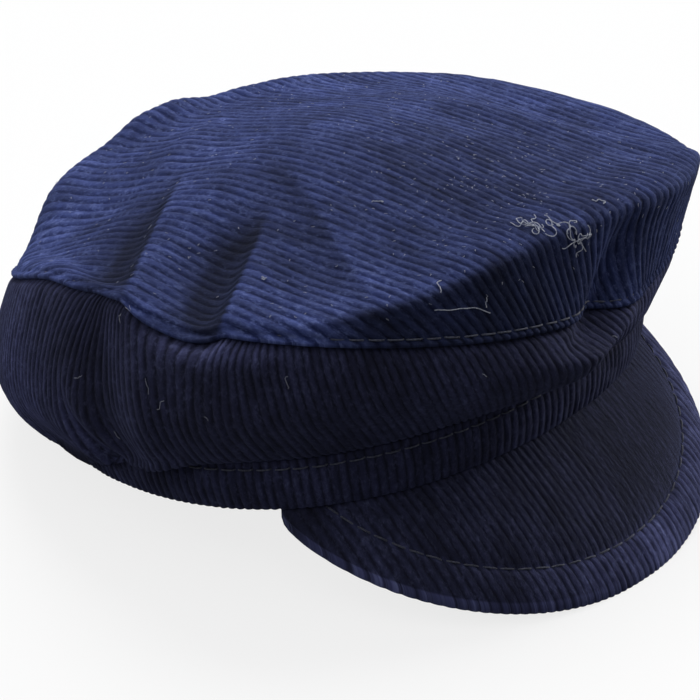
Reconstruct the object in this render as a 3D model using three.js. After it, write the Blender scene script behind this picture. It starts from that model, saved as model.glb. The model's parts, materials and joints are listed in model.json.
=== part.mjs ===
// Flat cap in blue corduroy, a child's size, resting on its back rim and the edge of its peak.
// Units are millimetres, +Z is up, the peak points to -Y and the back of the cap to +Y.
// Angles "around" are degrees from the front centre, positive toward the wearer's left (+X).

import * as THREE from 'three';

// ---------------------------------------------------------------- driving sizes

const OPENING_HALF_LENGTH = 72; // head opening, front to back
const OPENING_HALF_WIDTH = 79; // head opening, side to side
const OPENING_FULLNESS = 2.2; // 2 is an ellipse, more is squarer
const REST_PITCH = 11.8; // degrees the opening is raised at the front by the peak
const REST_SINK = 1.2; // how far the soft rim is pressed flat by the surface under it

const HEADBAND_HEIGHT = 13.4;
const HEADBAND_WALL = 2.0;
const HEADBAND_FLARE = 1.5; // how much wider the headband is at its top
const CROWN_WALL = 1.6;
const SEAM_GAP = 0.3; // between neighbouring pieces
const CROWN_TOP = 62; // centre of the top panel above the plane of the opening
const CROWN_SHIFT_X = 0;
const CROWN_SHIFT_Y = 6; // centre of the top panel, toward the back

const PEAK_REACH = 43.5; // along the slope, at the front centre
const PEAK_HALF_SPREAD = 57; // degrees around from the front centre to each corner
const PEAK_FULLNESS = 0.74; // lower is squarer at the corners
const PEAK_SLOPE = 37; // degrees below level
const PEAK_FAN = 0.46; // how far the ribs' direction opens toward the corners
const PEAK_BOW = 2.2; // rise of the middle over a straight slope
const PEAK_THICKNESS = 3.0;
const PEAK_CORNER_REACH = 3.0; // what is left of the reach at the very corner

const STEPS_AROUND = 96;
const BAND_ROWS = 7;
const PANEL_ROWS = 10;
const PEAK_STEPS_ACROSS = 36;
const PEAK_ROWS = 9;

const BLUE_CORDUROY = 0x252b4d;

// Sections of the crown: the low bulge and the high bulge of the side band, the seam, and the bend
// of the top panel. Each pair is how far out from the opening and how far up from its plane.
const CROWN_SECTIONS = [
  { around: -180, low: [12, 8], high: [23, 20], seam: [22, 35], bend: [1, 59] },
  { around: -150, low: [12, 6], high: [20, 18], seam: [12, 35], bend: [2, 56] },
  { around: -125, low: [8, 7], high: [16, 21], seam: [7, 44], bend: [-5, 51] },
  { around: -100, low: [7, 5], high: [13, 25], seam: [5, 56], bend: [-6, 58] },
  { around: -86, low: [6, 11], high: [12, 30], seam: [6, 59], bend: [-1, 61] },
  { around: -78, low: [6, 14], high: [12, 31], seam: [7.5, 58.6], bend: [2, 61] },
  { around: -72, low: [6, 16], high: [12, 32], seam: [8.5, 54.6], bend: [4, 59] },
  { around: -50, low: [6, 20], high: [12, 31], seam: [11, 48], bend: [7, 53] },
  { around: -30, low: [6, 20], high: [13, 30], seam: [12, 41], bend: [7, 52] },
  { around: -10, low: [10, 18], high: [17, 26], seam: [15, 35], bend: [8, 55] },
  { around: 10, low: [8, 17], high: [14, 23], seam: [14, 30], bend: [11, 55] },
  { around: 30, low: [6, 16], high: [10, 22], seam: [13, 29], bend: [17, 52] },
  { around: 60, low: [6, 18], high: [11, 26], seam: [14, 35], bend: [16, 46] },
  { around: 90, low: [6, 18], high: [12, 28], seam: [12, 40], bend: [9, 50] },
  { around: 120, low: [9, 14], high: [17, 26], seam: [16, 40], bend: [8, 54] },
  { around: 150, low: [11, 10], high: [22, 22], seam: [21, 38], bend: [0, 60] },
];

// Pleats of the top panel, as seen from above: walking from one end to the other, a soft crest
// with a hollow along its left side. Reach is how far the hollow's deepest line lies from it.
const PANEL_PLEATS = [
  { name: 'step', fromX: -81, fromY: -4, toX: -36, toY: 29, crest: 1.4, hollow: 4.8, reach: 7 },
  { name: 'deep dent', fromX: -76, fromY: -32, toX: -42, toY: -10, crest: 1.5, hollow: 6.5, reach: 7 },
  { name: 'middle drag', fromX: -46, fromY: -50, toX: -24, toY: 0, crest: 0.6, hollow: 1.8, reach: 7 },
];
const PLEAT_SOFTNESS = 1.3; // how rounded the crest is
const CREST_WIDTH = 9; // how fast the crest falls away on both sides

// Folds of the top panel, as seen from above: a line from one end to the other, the height of
// the fold (a dent is negative) and its half width.
const PANEL_FOLDS = [
  { name: 'back wave', fromX: 5, fromY: 60, toX: -60, toY: 28, height: 1.5, halfWidth: 7 },
  { name: 'back puff', fromX: -12, fromY: 84, toX: 12, toY: 84, height: 4, halfWidth: 12 },
  { name: 'corner ridge', fromX: 66, fromY: -62, toX: 42, toY: 20, height: 2.5, halfWidth: 9 },
  { name: 'far hollow', fromX: 72, fromY: -40, toX: 66, toY: 20, height: -2.5, halfWidth: 10 },
];

// Broad rises of the top panel, as seen from above.
const PANEL_SWELLS = [
  { name: 'crown dome', x: -10, y: 8, height: 9, halfWidth: 50 },
];

// Folds of the side band: from one place to another, each an angle around and a height share
// (0 at the headband, 3 at the seam, 4 at the bend of the top panel).
const BAND_FOLDS = [
  { name: 'corner hollow', from: [-85, 0.6], to: [-83, 2.8], height: -3.4, halfWidth: 7 },
  { name: 'corner ridge', from: [-76, 0.4], to: [-74, 2.8], height: 1.4, halfWidth: 5 },
  { name: 'front tuck', from: [-2, 2.6], to: [14, 3.6], height: -4.5, halfWidth: 3.2 },
  { name: 'front swell', from: [0, 0.8], to: [0, 2.6], height: 3, halfWidth: 9 },
  { name: 'front crease', from: [-46, 4.05], to: [60, 4.05], height: 3, halfWidth: 4 },
  { name: 'tuck lip', from: [1, 2.2], to: [17, 3.2], height: 2.2, halfWidth: 4 },
  { name: 'seam bulge', from: [-70, 2.75], to: [-50, 2.7], height: 3, halfWidth: 3.6 },
  { name: 'upper drag', from: [-90, 2], to: [-82, 0.5], height: 1.6, halfWidth: 2.6 },
  { name: 'drag hollow', from: [-92.5, 1.9], to: [-84.5, 0.5], height: -2.6, halfWidth: 3 },
  { name: 'lower drag', from: [-95, 1.7], to: [-87, 0.4], height: 1.4, halfWidth: 2.6 },
  { name: 'flat corner', from: [-110, 1.4], to: [-93, 1], height: -4.5, halfWidth: 7 },
  { name: 'hem sag', from: [-86, 0.8], to: [-72, 0.6], height: 2.5, halfWidth: 4 },
];
const BAND_MM_PER_DEGREE = 1.45;
const BAND_MM_PER_PLACE = 14;

// ---------------------------------------------------------------- helpers

const radians = (degrees) => (degrees * Math.PI) / 180;
const clamp = (value, low, high) => Math.min(high, Math.max(low, value));
const mix = (a, b, t) => a + (b - a) * t;

function smooth(t) {
  const u = clamp(t, 0, 1);
  return u * u * (3 - 2 * u);
}

function spline(p0, p1, p2, p3, t) {
  const a = 2 * p1;
  const b = p2 - p0;
  const c = 2 * p0 - 5 * p1 + 4 * p2 - p3;
  const d = 3 * p1 - p0 - 3 * p2 + p3;
  return 0.5 * (a + t * (b + t * (c + t * d)));
}

// How far out or up one guide of the crown lies at any angle, smooth all the way round.
const OUT = 0;
const UP = 1;

function sectionValue(guide, way, around) {
  const count = CROWN_SECTIONS.length;
  const angle = ((((around + 180) % 360) + 360) % 360) - 180;
  let i = count - 1;
  while (CROWN_SECTIONS[i].around > angle) {
    i -= 1;
  }
  const row = (k) => {
    const turns = Math.floor((i + k) / count);
    const section = CROWN_SECTIONS[i + k - turns * count];
    return { at: section.around + 360 * turns, value: section[guide][way] };
  };
  const [before, start, end, after] = [row(-1), row(0), row(1), row(2)];
  const span = end.at - start.at;
  const t = (angle - start.at) / span;
  const startSlope = ((end.value - before.value) / (end.at - before.at)) * span;
  const endSlope = ((after.value - start.value) / (after.at - start.at)) * span;
  const bulge = startSlope * t * (1 - t) ** 2 - endSlope * t * t * (1 - t);
  return mix(start.value, end.value, t * t * (3 - 2 * t)) + bulge;
}

function openingRadius(around) {
  const s = Math.abs(Math.sin(radians(around))) / OPENING_HALF_WIDTH;
  const c = Math.abs(Math.cos(radians(around))) / OPENING_HALF_LENGTH;
  return (s ** OPENING_FULLNESS + c ** OPENING_FULLNESS) ** (-1 / OPENING_FULLNESS);
}

// A place given in the plane of the opening, put into the resting pose: raised at the front.
function posed(x, y, up) {
  const pitch = radians(REST_PITCH);
  const fromBack = y - OPENING_HALF_LENGTH;
  const back = OPENING_HALF_LENGTH + fromBack * Math.cos(pitch) + up * Math.sin(pitch);
  const height = up * Math.cos(pitch) - fromBack * Math.sin(pitch) - REST_SINK;
  return new THREE.Vector3(x, back, height);
}

function ringPoint(around, out, up) {
  const radius = openingRadius(around) + out;
  return posed(radius * Math.sin(radians(around)), -radius * Math.cos(radians(around)), up);
}

// Cloth or rim that would sink below the surface is pressed flat on it.
function pressed(point) {
  return new THREE.Vector3(point.x, point.y, Math.max(0, point.z));
}

// ---------------------------------------------------------------- crown surface

// Height of a fold at a point, fading out past its two ends.
function foldAt(fold, start, end, point) {
  const dx = end.x - start.x;
  const dy = end.y - start.y;
  const length = Math.hypot(dx, dy);
  const along = ((point.x - start.x) * dx + (point.y - start.y) * dy) / (length * length);
  const aside = ((point.x - start.x) * dy - (point.y - start.y) * dx) / length;
  const ends = smooth(along / 0.7 + 0.5) * smooth((1 - along) / 0.7 + 0.5);
  return fold.height * ends * Math.exp(-((aside / fold.halfWidth) ** 2));
}

// Height of a pleat at a point, fading out past its two ends.
function pleatAt(pleat, x, y) {
  const dx = pleat.toX - pleat.fromX;
  const dy = pleat.toY - pleat.fromY;
  const length = Math.hypot(dx, dy);
  const along = ((x - pleat.fromX) * dx + (y - pleat.fromY) * dy) / (length * length);
  const left = ((y - pleat.fromY) * dx - (x - pleat.fromX) * dy) / length;
  const ends = smooth(along / 0.5 + 0.5) * smooth((1 - along) / 0.9 + 0.4);
  const rounded = Math.hypot(left, PLEAT_SOFTNESS);
  const t = (left + rounded) / 2 / pleat.reach;
  const crest = pleat.crest * Math.exp(-rounded / CREST_WIDTH);
  return ends * (crest - pleat.hollow * t * Math.exp(1 - t));
}

function swellAt(swell, x, y) {
  const distance = Math.hypot(x - swell.x, y - swell.y);
  return swell.height * Math.exp(-((distance / swell.halfWidth) ** 2));
}

function panelFolds(x, y) {
  let height = 0;
  for (const pleat of PANEL_PLEATS) {
    height += pleatAt(pleat, x, y);
  }
  for (const swell of PANEL_SWELLS) {
    height += swellAt(swell, x, y);
  }
  for (const fold of PANEL_FOLDS) {
    const start = { x: fold.fromX, y: fold.fromY };
    const end = { x: fold.toX, y: fold.toY };
    height += foldAt(fold, start, end, { x, y });
  }
  return height;
}

function bandFolds(around, place) {
  const angle = ((((around + 180) % 360) + 360) % 360) - 180;
  const flat = (degrees, share) => ({ x: degrees * BAND_MM_PER_DEGREE, y: share * BAND_MM_PER_PLACE });
  let height = 0;
  for (const fold of BAND_FOLDS) {
    const start = flat(...fold.from);
    const end = flat(...fold.to);
    height += foldAt(fold, start, end, flat(angle, place));
  }
  return height * smooth(place / 0.5);
}

// Guide points of one section, from the headband up over the seam to the middle of the top.
const PANEL_INSETS = [0.8, 0.55, 0.28];
const SEAM_PLACE = 3;
const CENTRE_PLACE = 5 + PANEL_INSETS.length;

function guidePoints(around) {
  const out = (guide) => sectionValue(guide, OUT, around);
  const up = (guide) => sectionValue(guide, UP, around);
  const bend = ringPoint(around, out('bend'), up('bend'));
  const centre = posed(CROWN_SHIFT_X, CROWN_SHIFT_Y, CROWN_TOP);
  const points = [
    ringPoint(around, HEADBAND_FLARE, HEADBAND_HEIGHT),
    ringPoint(around, out('low'), up('low')),
    ringPoint(around, out('high'), up('high')),
    ringPoint(around, out('seam'), up('seam')),
    bend,
  ];
  const level = posed(CROWN_SHIFT_X, CROWN_SHIFT_Y, up('bend'));
  const rise = new THREE.Vector3().subVectors(centre, level);
  for (const inset of PANEL_INSETS) {
    const point = new THREE.Vector3().lerpVectors(level, bend, inset);
    points.push(point.addScaledVector(rise, 1 - inset * inset));
  }
  points.push(centre);
  return points;
}

const guideCache = new Map();

function cachedGuides(around) {
  const key = ((Math.round(around * 1000) % 360000) + 360000) % 360000;
  if (!guideCache.has(key)) {
    guideCache.set(key, guidePoints(around));
  }
  return guideCache.get(key);
}

// Outer surface of the crown: "place" runs from 0 at the headband to CENTRE_PLACE in the middle.
function crownPoint(around, place) {
  const here = cachedGuides(around);
  const across = cachedGuides(around + 180);
  const guide = (k) => {
    if (k < 0) {
      return new THREE.Vector3().copy(here[0]).multiplyScalar(2).sub(here[1]);
    }
    return k > CENTRE_PLACE ? across[2 * CENTRE_PLACE - k] : here[k];
  };
  const i = Math.min(Math.floor(place), CENTRE_PLACE - 1);
  const t = place - i;
  const [a, b, c, d] = [guide(i - 1), guide(i), guide(i + 1), guide(i + 2)];
  const point = new THREE.Vector3(
    spline(a.x, b.x, c.x, d.x, t),
    spline(a.y, b.y, c.y, d.y, t),
    spline(a.z, b.z, c.z, d.z, t),
  );
  point.z += smooth((place - 1.6) / 1.4) * panelFolds(point.x, point.y);
  const outward = bandFolds(around, place);
  point.x += outward * Math.sin(radians(around));
  point.y -= outward * Math.cos(radians(around));
  return point;
}

function crownNormal(around, place) {
  const low = Math.max(0, place - 0.05);
  const high = Math.min(CENTRE_PLACE, place + 0.05);
  if (high >= CENTRE_PLACE - 0.01) {
    return new THREE.Vector3(0, Math.sin(radians(REST_PITCH)), Math.cos(radians(REST_PITCH)));
  }
  const up = new THREE.Vector3().subVectors(crownPoint(around, high), crownPoint(around, low));
  const side = new THREE.Vector3();
  side.subVectors(crownPoint(around + 1.5, place), crownPoint(around - 1.5, place));
  return side.cross(up).normalize();
}

function crownInner(around, place) {
  return crownPoint(around, place).addScaledVector(crownNormal(around, place), -CROWN_WALL);
}

// ---------------------------------------------------------------- solids

function solid(positions, triangles, material, name) {
  let volume = 0;
  for (const [a, b, c] of triangles) {
    volume += positions[a].dot(new THREE.Vector3().crossVectors(positions[b], positions[c]));
  }
  const ordered = volume > 0 ? triangles : triangles.map(([a, b, c]) => [a, c, b]);
  const geometry = new THREE.BufferGeometry();
  const numbers = positions.flatMap((point) => [point.x, point.y, point.z]);
  geometry.setAttribute('position', new THREE.Float32BufferAttribute(numbers, 3));
  geometry.setIndex(ordered.flat());
  geometry.computeVertexNormals();
  const mesh = new THREE.Mesh(geometry, material);
  mesh.name = name;
  return mesh;
}

// Sides between neighbouring loops of points, each loop closed on itself.
function loopSides(columns, rows, closed) {
  const triangles = [];
  const last = closed ? columns : columns - 1;
  for (let i = 0; i < last; i += 1) {
    for (let j = 0; j < rows; j += 1) {
      const a = i * rows + j;
      const b = ((i + 1) % columns) * rows + j;
      const c = ((i + 1) % columns) * rows + ((j + 1) % rows);
      const d = i * rows + ((j + 1) % rows);
      triangles.push([a, b, c], [a, c, d]);
    }
  }
  return triangles;
}

function ringSolid(loopAt, material, name) {
  const positions = [];
  let rows = 0;
  for (let i = 0; i < STEPS_AROUND; i += 1) {
    const loop = loopAt((360 * i) / STEPS_AROUND - 180);
    rows = loop.length;
    positions.push(...loop.map(pressed));
  }
  return solid(positions, loopSides(STEPS_AROUND, rows, true), material, name);
}

function corduroy(colour) {
  return new THREE.MeshStandardMaterial({ color: colour, roughness: 0.92, metalness: 0 });
}

// ---------------------------------------------------------------- pieces

function headband() {
  const top = HEADBAND_HEIGHT - SEAM_GAP;
  return ringSolid((around) => {
    const flare = (up) => (HEADBAND_FLARE * up) / HEADBAND_HEIGHT;
    const loop = [];
    for (const up of [0, top / 3, (2 * top) / 3, top]) {
      loop.push(ringPoint(around, flare(up), up));
    }
    for (const up of [top, (2 * top) / 3, top / 3, 0]) {
      loop.push(ringPoint(around, flare(up) - HEADBAND_WALL, up));
    }
    return loop;
  }, corduroy(BLUE_CORDUROY), 'headband');
}

function sideBand() {
  return ringSolid((around) => {
    const loop = [];
    for (let j = 0; j < BAND_ROWS; j += 1) {
      loop.push(crownPoint(around, mix(0.02, SEAM_PLACE - 0.01, j / (BAND_ROWS - 1))));
    }
    for (let j = BAND_ROWS - 1; j >= 0; j -= 1) {
      loop.push(crownInner(around, mix(0.02, SEAM_PLACE - 0.01, j / (BAND_ROWS - 1))));
    }
    return loop;
  }, corduroy(BLUE_CORDUROY), 'side_band');
}

function topPanel() {
  const positions = [];
  const triangles = [];
  const rows = PANEL_ROWS;
  const placeOf = (j) => mix(SEAM_PLACE + 0.03, CENTRE_PLACE, j / rows);
  for (let i = 0; i < STEPS_AROUND; i += 1) {
    const around = (360 * i) / STEPS_AROUND - 180;
    for (let j = rows - 1; j >= 0; j -= 1) {
      positions.push(crownPoint(around, placeOf(j)));
    }
    for (let j = 0; j < rows; j += 1) {
      positions.push(crownInner(around, placeOf(j)));
    }
  }
  const perColumn = 2 * rows;
  const outerCentre = positions.length;
  positions.push(crownPoint(0, CENTRE_PLACE));
  positions.push(crownInner(0, CENTRE_PLACE));
  for (let i = 0; i < STEPS_AROUND; i += 1) {
    const next = (i + 1) % STEPS_AROUND;
    for (let j = 0; j < perColumn - 1; j += 1) {
      const a = i * perColumn + j;
      const b = next * perColumn + j;
      triangles.push([a, b, b + 1], [a, b + 1, a + 1]);
    }
    triangles.push([outerCentre, next * perColumn, i * perColumn]);
    triangles.push([outerCentre + 1, i * perColumn + perColumn - 1, next * perColumn + perColumn - 1]);
  }
  return solid(positions, triangles, corduroy(BLUE_CORDUROY), 'top_panel');
}

function peakPoint(around, along) {
  const start = ringPoint(around, SEAM_GAP, 0);
  const share = clamp(Math.cos((Math.PI / 2) * (around / PEAK_HALF_SPREAD)), 0, 1);
  const reach = PEAK_CORNER_REACH + (PEAK_REACH - PEAK_CORNER_REACH) * share ** PEAK_FULLNESS;
  const heading = new THREE.Vector3(PEAK_FAN * Math.sin(radians(around)), -1, 0).normalize();
  const slope = radians(PEAK_SLOPE);
  const point = start.clone().addScaledVector(heading, reach * along * Math.cos(slope));
  point.z += PEAK_BOW * share * Math.sin(Math.PI * along) - reach * along * Math.sin(slope);
  return point;
}

function peak() {
  const positions = [];
  let rows = 0;
  for (let i = 0; i <= PEAK_STEPS_ACROSS; i += 1) {
    const around = mix(-PEAK_HALF_SPREAD, PEAK_HALF_SPREAD, i / PEAK_STEPS_ACROSS);
    const loop = [];
    for (let j = 0; j < PEAK_ROWS; j += 1) {
      loop.push(peakPoint(around, j / (PEAK_ROWS - 1)));
    }
    const under = loop.map((point) => point.clone().add(new THREE.Vector3(0, 0, -PEAK_THICKNESS)));
    loop.push(...under.reverse());
    rows = loop.length;
    positions.push(...loop.map(pressed));
  }
  const triangles = loopSides(PEAK_STEPS_ACROSS + 1, rows, false);
  for (const [start, flip] of [[0, false], [PEAK_STEPS_ACROSS * rows, true]]) {
    for (let j = 0; j < rows / 2 - 1; j += 1) {
      const a = start + j;
      const b = start + j + 1;
      const c = start + rows - 2 - j;
      const d = start + rows - 1 - j;
      const quad = flip ? [[a, c, b], [a, d, c]] : [[a, b, c], [a, c, d]];
      triangles.push(...quad);
    }
  }
  return solid(positions, triangles, corduroy(BLUE_CORDUROY), 'peak');
}

// The frame's origin is the middle of the whole cap, on the surface it rests on.
function centred(pieces) {
  const box = new THREE.Box3();
  for (const piece of pieces) {
    piece.geometry.computeBoundingBox();
    box.union(piece.geometry.boundingBox);
  }
  const middle = box.getCenter(new THREE.Vector3());
  for (const piece of pieces) {
    piece.geometry.translate(-middle.x, -middle.y, 0);
  }
  return pieces;
}

const cap = new THREE.Group();
cap.name = 'flat_cap';
cap.add(...centred([topPanel(), sideBand(), headband(), peak()]));

export default cap;
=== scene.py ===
"""A child's flat cap in blue corduroy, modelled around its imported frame.

Shapes are worked out in millimetres and become meshes in metres.  The peak points to -Y and the
back of the cap to +Y.  Angles "around" are degrees from the front centre, positive toward +X.
"""

import json
import logging
import math
from dataclasses import astuple, dataclass, replace
from enum import Enum

import bmesh
import bpy
import numpy as np
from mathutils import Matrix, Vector

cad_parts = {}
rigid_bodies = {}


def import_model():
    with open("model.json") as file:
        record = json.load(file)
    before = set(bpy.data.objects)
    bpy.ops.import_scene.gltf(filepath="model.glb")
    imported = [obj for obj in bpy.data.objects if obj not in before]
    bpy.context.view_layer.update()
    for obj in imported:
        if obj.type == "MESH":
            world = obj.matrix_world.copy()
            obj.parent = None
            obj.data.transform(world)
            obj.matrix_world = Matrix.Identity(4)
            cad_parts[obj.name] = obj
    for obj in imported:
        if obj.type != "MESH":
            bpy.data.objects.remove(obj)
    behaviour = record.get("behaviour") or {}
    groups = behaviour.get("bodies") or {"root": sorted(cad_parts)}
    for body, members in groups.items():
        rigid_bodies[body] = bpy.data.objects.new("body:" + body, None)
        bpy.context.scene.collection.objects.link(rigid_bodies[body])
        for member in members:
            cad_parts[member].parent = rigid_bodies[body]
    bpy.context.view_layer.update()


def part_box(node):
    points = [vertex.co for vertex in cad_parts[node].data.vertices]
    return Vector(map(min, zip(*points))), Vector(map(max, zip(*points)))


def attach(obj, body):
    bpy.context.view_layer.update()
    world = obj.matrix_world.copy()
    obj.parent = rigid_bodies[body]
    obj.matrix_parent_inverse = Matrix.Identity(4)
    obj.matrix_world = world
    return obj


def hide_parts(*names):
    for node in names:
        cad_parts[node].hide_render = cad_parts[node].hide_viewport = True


Array = np.ndarray
Object = bpy.types.Object
Pair = tuple[float, float]
Triple = tuple[float, float, float]

MM = 0.001
FULL_TURN = 360.0

FLOOR_CLEARANCE = 0.02  # the lowest that any point may lie
TURN_POINTS = 2881  # points once around, to lay out the ribs
STITCH_POINTS = 1441  # points once around, along a row of stitches
STITCH_REST = 0.7  # how high on a rib a stitch lies, as a share of the rib's half depth
CLOTH_SEED = 11  # start of the cloth's uneven shape
OFFSET_STEPS = 96  # points around the headband, as the frame has
WAVE_SHARES = (0.6, 0.4)  # how much the broad and the fine waves of the cloth count
TINY = 1e-9  # keeps a length from being zero

log = logging.getLogger("cap")


# ---------------------- small helpers


def smooth(t: Array) -> Array:
    """Ease from 0 to 1 as t goes from 0 to 1."""
    u = np.clip(t, 0.0, 1.0)
    return u * u * (3.0 - 2.0 * u)


def hump(distance: Array, half_width: float) -> Array:
    """A soft hump of height 1 at distance 0."""
    return np.exp(-((distance / half_width) ** 2))


def wrapped(angle: Array) -> Array:
    """The angles, each brought between -180 and 180."""
    return np.mod(angle + 180.0, FULL_TURN) - 180.0


def even_turn(count: int) -> Array:
    """Evenly spaced angles once around the cap, from -180."""
    return np.arange(count) * FULL_TURN / count - 180.0


def beside_line(start: Pair, end: Pair, where: Array) -> tuple[Array, Array]:
    """Find where places lie against a straight line.

    Args:
        start: Start of the line.
        end: End of the line.
        where: The places, any shape by 2.

    Returns:
        Share of the way along the line, and distance to its left.
    """
    dx, dy = end[0] - start[0], end[1] - start[1]
    x, y = where[..., 0] - start[0], where[..., 1] - start[1]
    length = math.hypot(dx, dy)
    return (x * dx + y * dy) / length**2, (y * dx - x * dy) / length


def unit(vectors: Array) -> Array:
    """The vectors, each scaled to length 1."""
    length = np.linalg.norm(vectors, axis=-1, keepdims=True)
    return vectors / np.maximum(length, TINY)


def run_length(points: Array) -> Array:
    """Distance along a line of points, from 0 at its first point."""
    steps = np.linalg.norm(np.diff(points, axis=0), axis=-1)
    return np.concatenate([[0.0], np.cumsum(steps)])


def grid_normals(points: Array, closed: bool) -> Array:
    """Normals of a grid of points.

    Args:
        points: Grid of positions, columns by rows by 3.
        closed: Whether the last column is followed by the first one.

    Returns:
        Unit normals, in the grid's own shape.
    """
    if closed:
        across = np.roll(points, -1, axis=0) - np.roll(points, 1, axis=0)
    else:
        across = np.gradient(points, axis=0)
    along = np.gradient(points, axis=1)
    return unit(np.cross(across, along))


class SoftNoise:
    """Smooth random values in space, the same on every run."""

    SIDE = 32

    def __init__(self, seed: int) -> None:
        """Fill the lattice.

        Args:
            seed: Start of the random order.
        """
        chooser = np.random.default_rng(seed)
        self.lattice = chooser.uniform(-1.0, 1.0, (self.SIDE, self.SIDE, self.SIDE))

    def at(self, points: Array, scale: float | Triple) -> Array:
        """Values from -1 to 1.

        Args:
            points: Positions, any shape by 3.
            scale: Size of one lump, the same unit as the positions.

        Returns:
            One value for each position.
        """
        cell = np.asarray(points, float) / np.asarray(scale, float)
        low = np.floor(cell).astype(int)
        t = cell - low
        t = t * t * (3.0 - 2.0 * t)
        total = np.zeros(cell.shape[:-1])
        for corner in np.ndindex(2, 2, 2):
            shares = [t[..., axis] if far else 1.0 - t[..., axis] for axis, far in enumerate(corner)]
            x, y, z = np.moveaxis((low + corner) % self.SIDE, -1, 0)
            total += shares[0] * shares[1] * shares[2] * self.lattice[x, y, z]
        return total


def waves(noise: SoftNoise, points: Array, sizes: Pair, shifts: Pair) -> Array:
    """Mix broad and fine waves of the cloth.

    Args:
        noise: Source of the waves.
        points: Positions, any shape by 3.
        sizes: Size of the broad and of the fine waves.
        shifts: Added to the positions for each, so that pieces differ.

    Returns:
        Values from about -1 to 1.
    """
    broad, fine = (noise.at(points + shift, size) for shift, size in zip(shifts, sizes))
    return broad * WAVE_SHARES[0] + fine * WAVE_SHARES[1]


class RoundTable:
    """Rows of values at angles around the cap, joined smoothly all the way round."""

    def __init__(self, rows: "tuple[Section, ...] | tuple[Lean, ...]") -> None:
        """Keep the rows.

        Args:
            rows: The rows, each with its angle first, rising.
        """
        table = np.array([astuple(row) for row in rows], float)
        self.around = table[:, 0]
        self.values = table[:, 1:]

    def _row(self, index: Array) -> tuple[Array, Array]:
        """Look up rows, counted on past either end of the table.

        Args:
            index: Numbers of the rows.

        Returns:
            The rows' angles and their values.
        """
        count = len(self.around)
        turns = np.floor_divide(index, count)
        place = index - turns * count
        return self.around[place] + FULL_TURN * turns, self.values[place]

    def at(self, around: Array) -> Array:
        """Values at any angle.

        Args:
            around: Angles in degrees.

        Returns:
            The angles' shape by the number of columns.
        """
        angle = wrapped(np.asarray(around, float))
        first = np.searchsorted(self.around, angle, side="right") - 1
        before_at, before = self._row(first - 1)
        start_at, start = self._row(first)
        end_at, end = self._row(first + 1)
        after_at, after = self._row(first + 2)
        span = (end_at - start_at)[..., None]
        t = (angle - start_at)[..., None] / span
        start_slope = (end - before) / (end_at - before_at)[..., None] * span
        end_slope = (after - start) / (after_at - start_at)[..., None] * span
        bulge = start_slope * t * (1.0 - t) ** 2 - end_slope * t * t * (1.0 - t)
        return start + (end - start) * t * t * (3.0 - 2.0 * t) + bulge


# ---------------------- the cap's own shape


@dataclass(frozen=True)
class Section:
    """One section of the crown: each "out" from the opening, each "up" from its plane."""

    around: float
    low_out: float
    low_up: float
    high_out: float
    high_up: float
    seam_out: float
    seam_up: float
    bend_out: float
    bend_up: float


CROWN_SECTIONS = (
    Section(-180, 12, 8, 23, 20, 22, 35, 1, 59),
    Section(-150, 12, 6, 20, 18, 12, 35, 2, 56),
    Section(-125, 8, 7, 16, 21, 7, 44, -5, 51),
    Section(-100, 7, 5, 13, 25, 5, 56, -6, 58),
    Section(-86, 6, 11, 12, 30, 6, 59, -1, 61),
    Section(-78, 6, 14, 12, 31, 7.5, 58.6, 2, 61),
    Section(-72, 6, 16, 12, 32, 8.5, 54.6, 4, 59),
    Section(-50, 6, 20, 12, 31, 11, 48, 7, 53),
    Section(-30, 6, 20, 13, 30, 12, 41, 7, 52),
    Section(-10, 10, 18, 17, 26, 15, 35, 8, 55),
    Section(10, 8, 17, 14, 23, 14, 30, 11, 55),
    Section(30, 6, 16, 10, 22, 13, 29, 17, 52),
    Section(60, 6, 18, 11, 26, 14, 35, 16, 46),
    Section(90, 6, 18, 12, 28, 12, 40, 9, 50),
    Section(120, 9, 14, 17, 26, 16, 40, 8, 54),
    Section(150, 11, 10, 22, 22, 21, 38, 0, 60),
)


@dataclass(frozen=True)
class Fold:
    """A fold along a straight line: its two ends, its height (a dent is below 0), its half width."""

    start: Pair
    end: Pair
    height: float
    half_width: float

    FADE = 0.7  # of the line's length, at either end

    def at(self, where: Array) -> Array:
        """Work out the fold, which fades out past its two ends.

        Args:
            where: Places, any shape by 2.

        Returns:
            Height of the fold at each place.
        """
        along, left = beside_line(self.start, self.end, where)
        ends = smooth(along / self.FADE + 0.5) * smooth((1.0 - along) / self.FADE + 0.5)
        return self.height * ends * hump(left, self.half_width)


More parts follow.
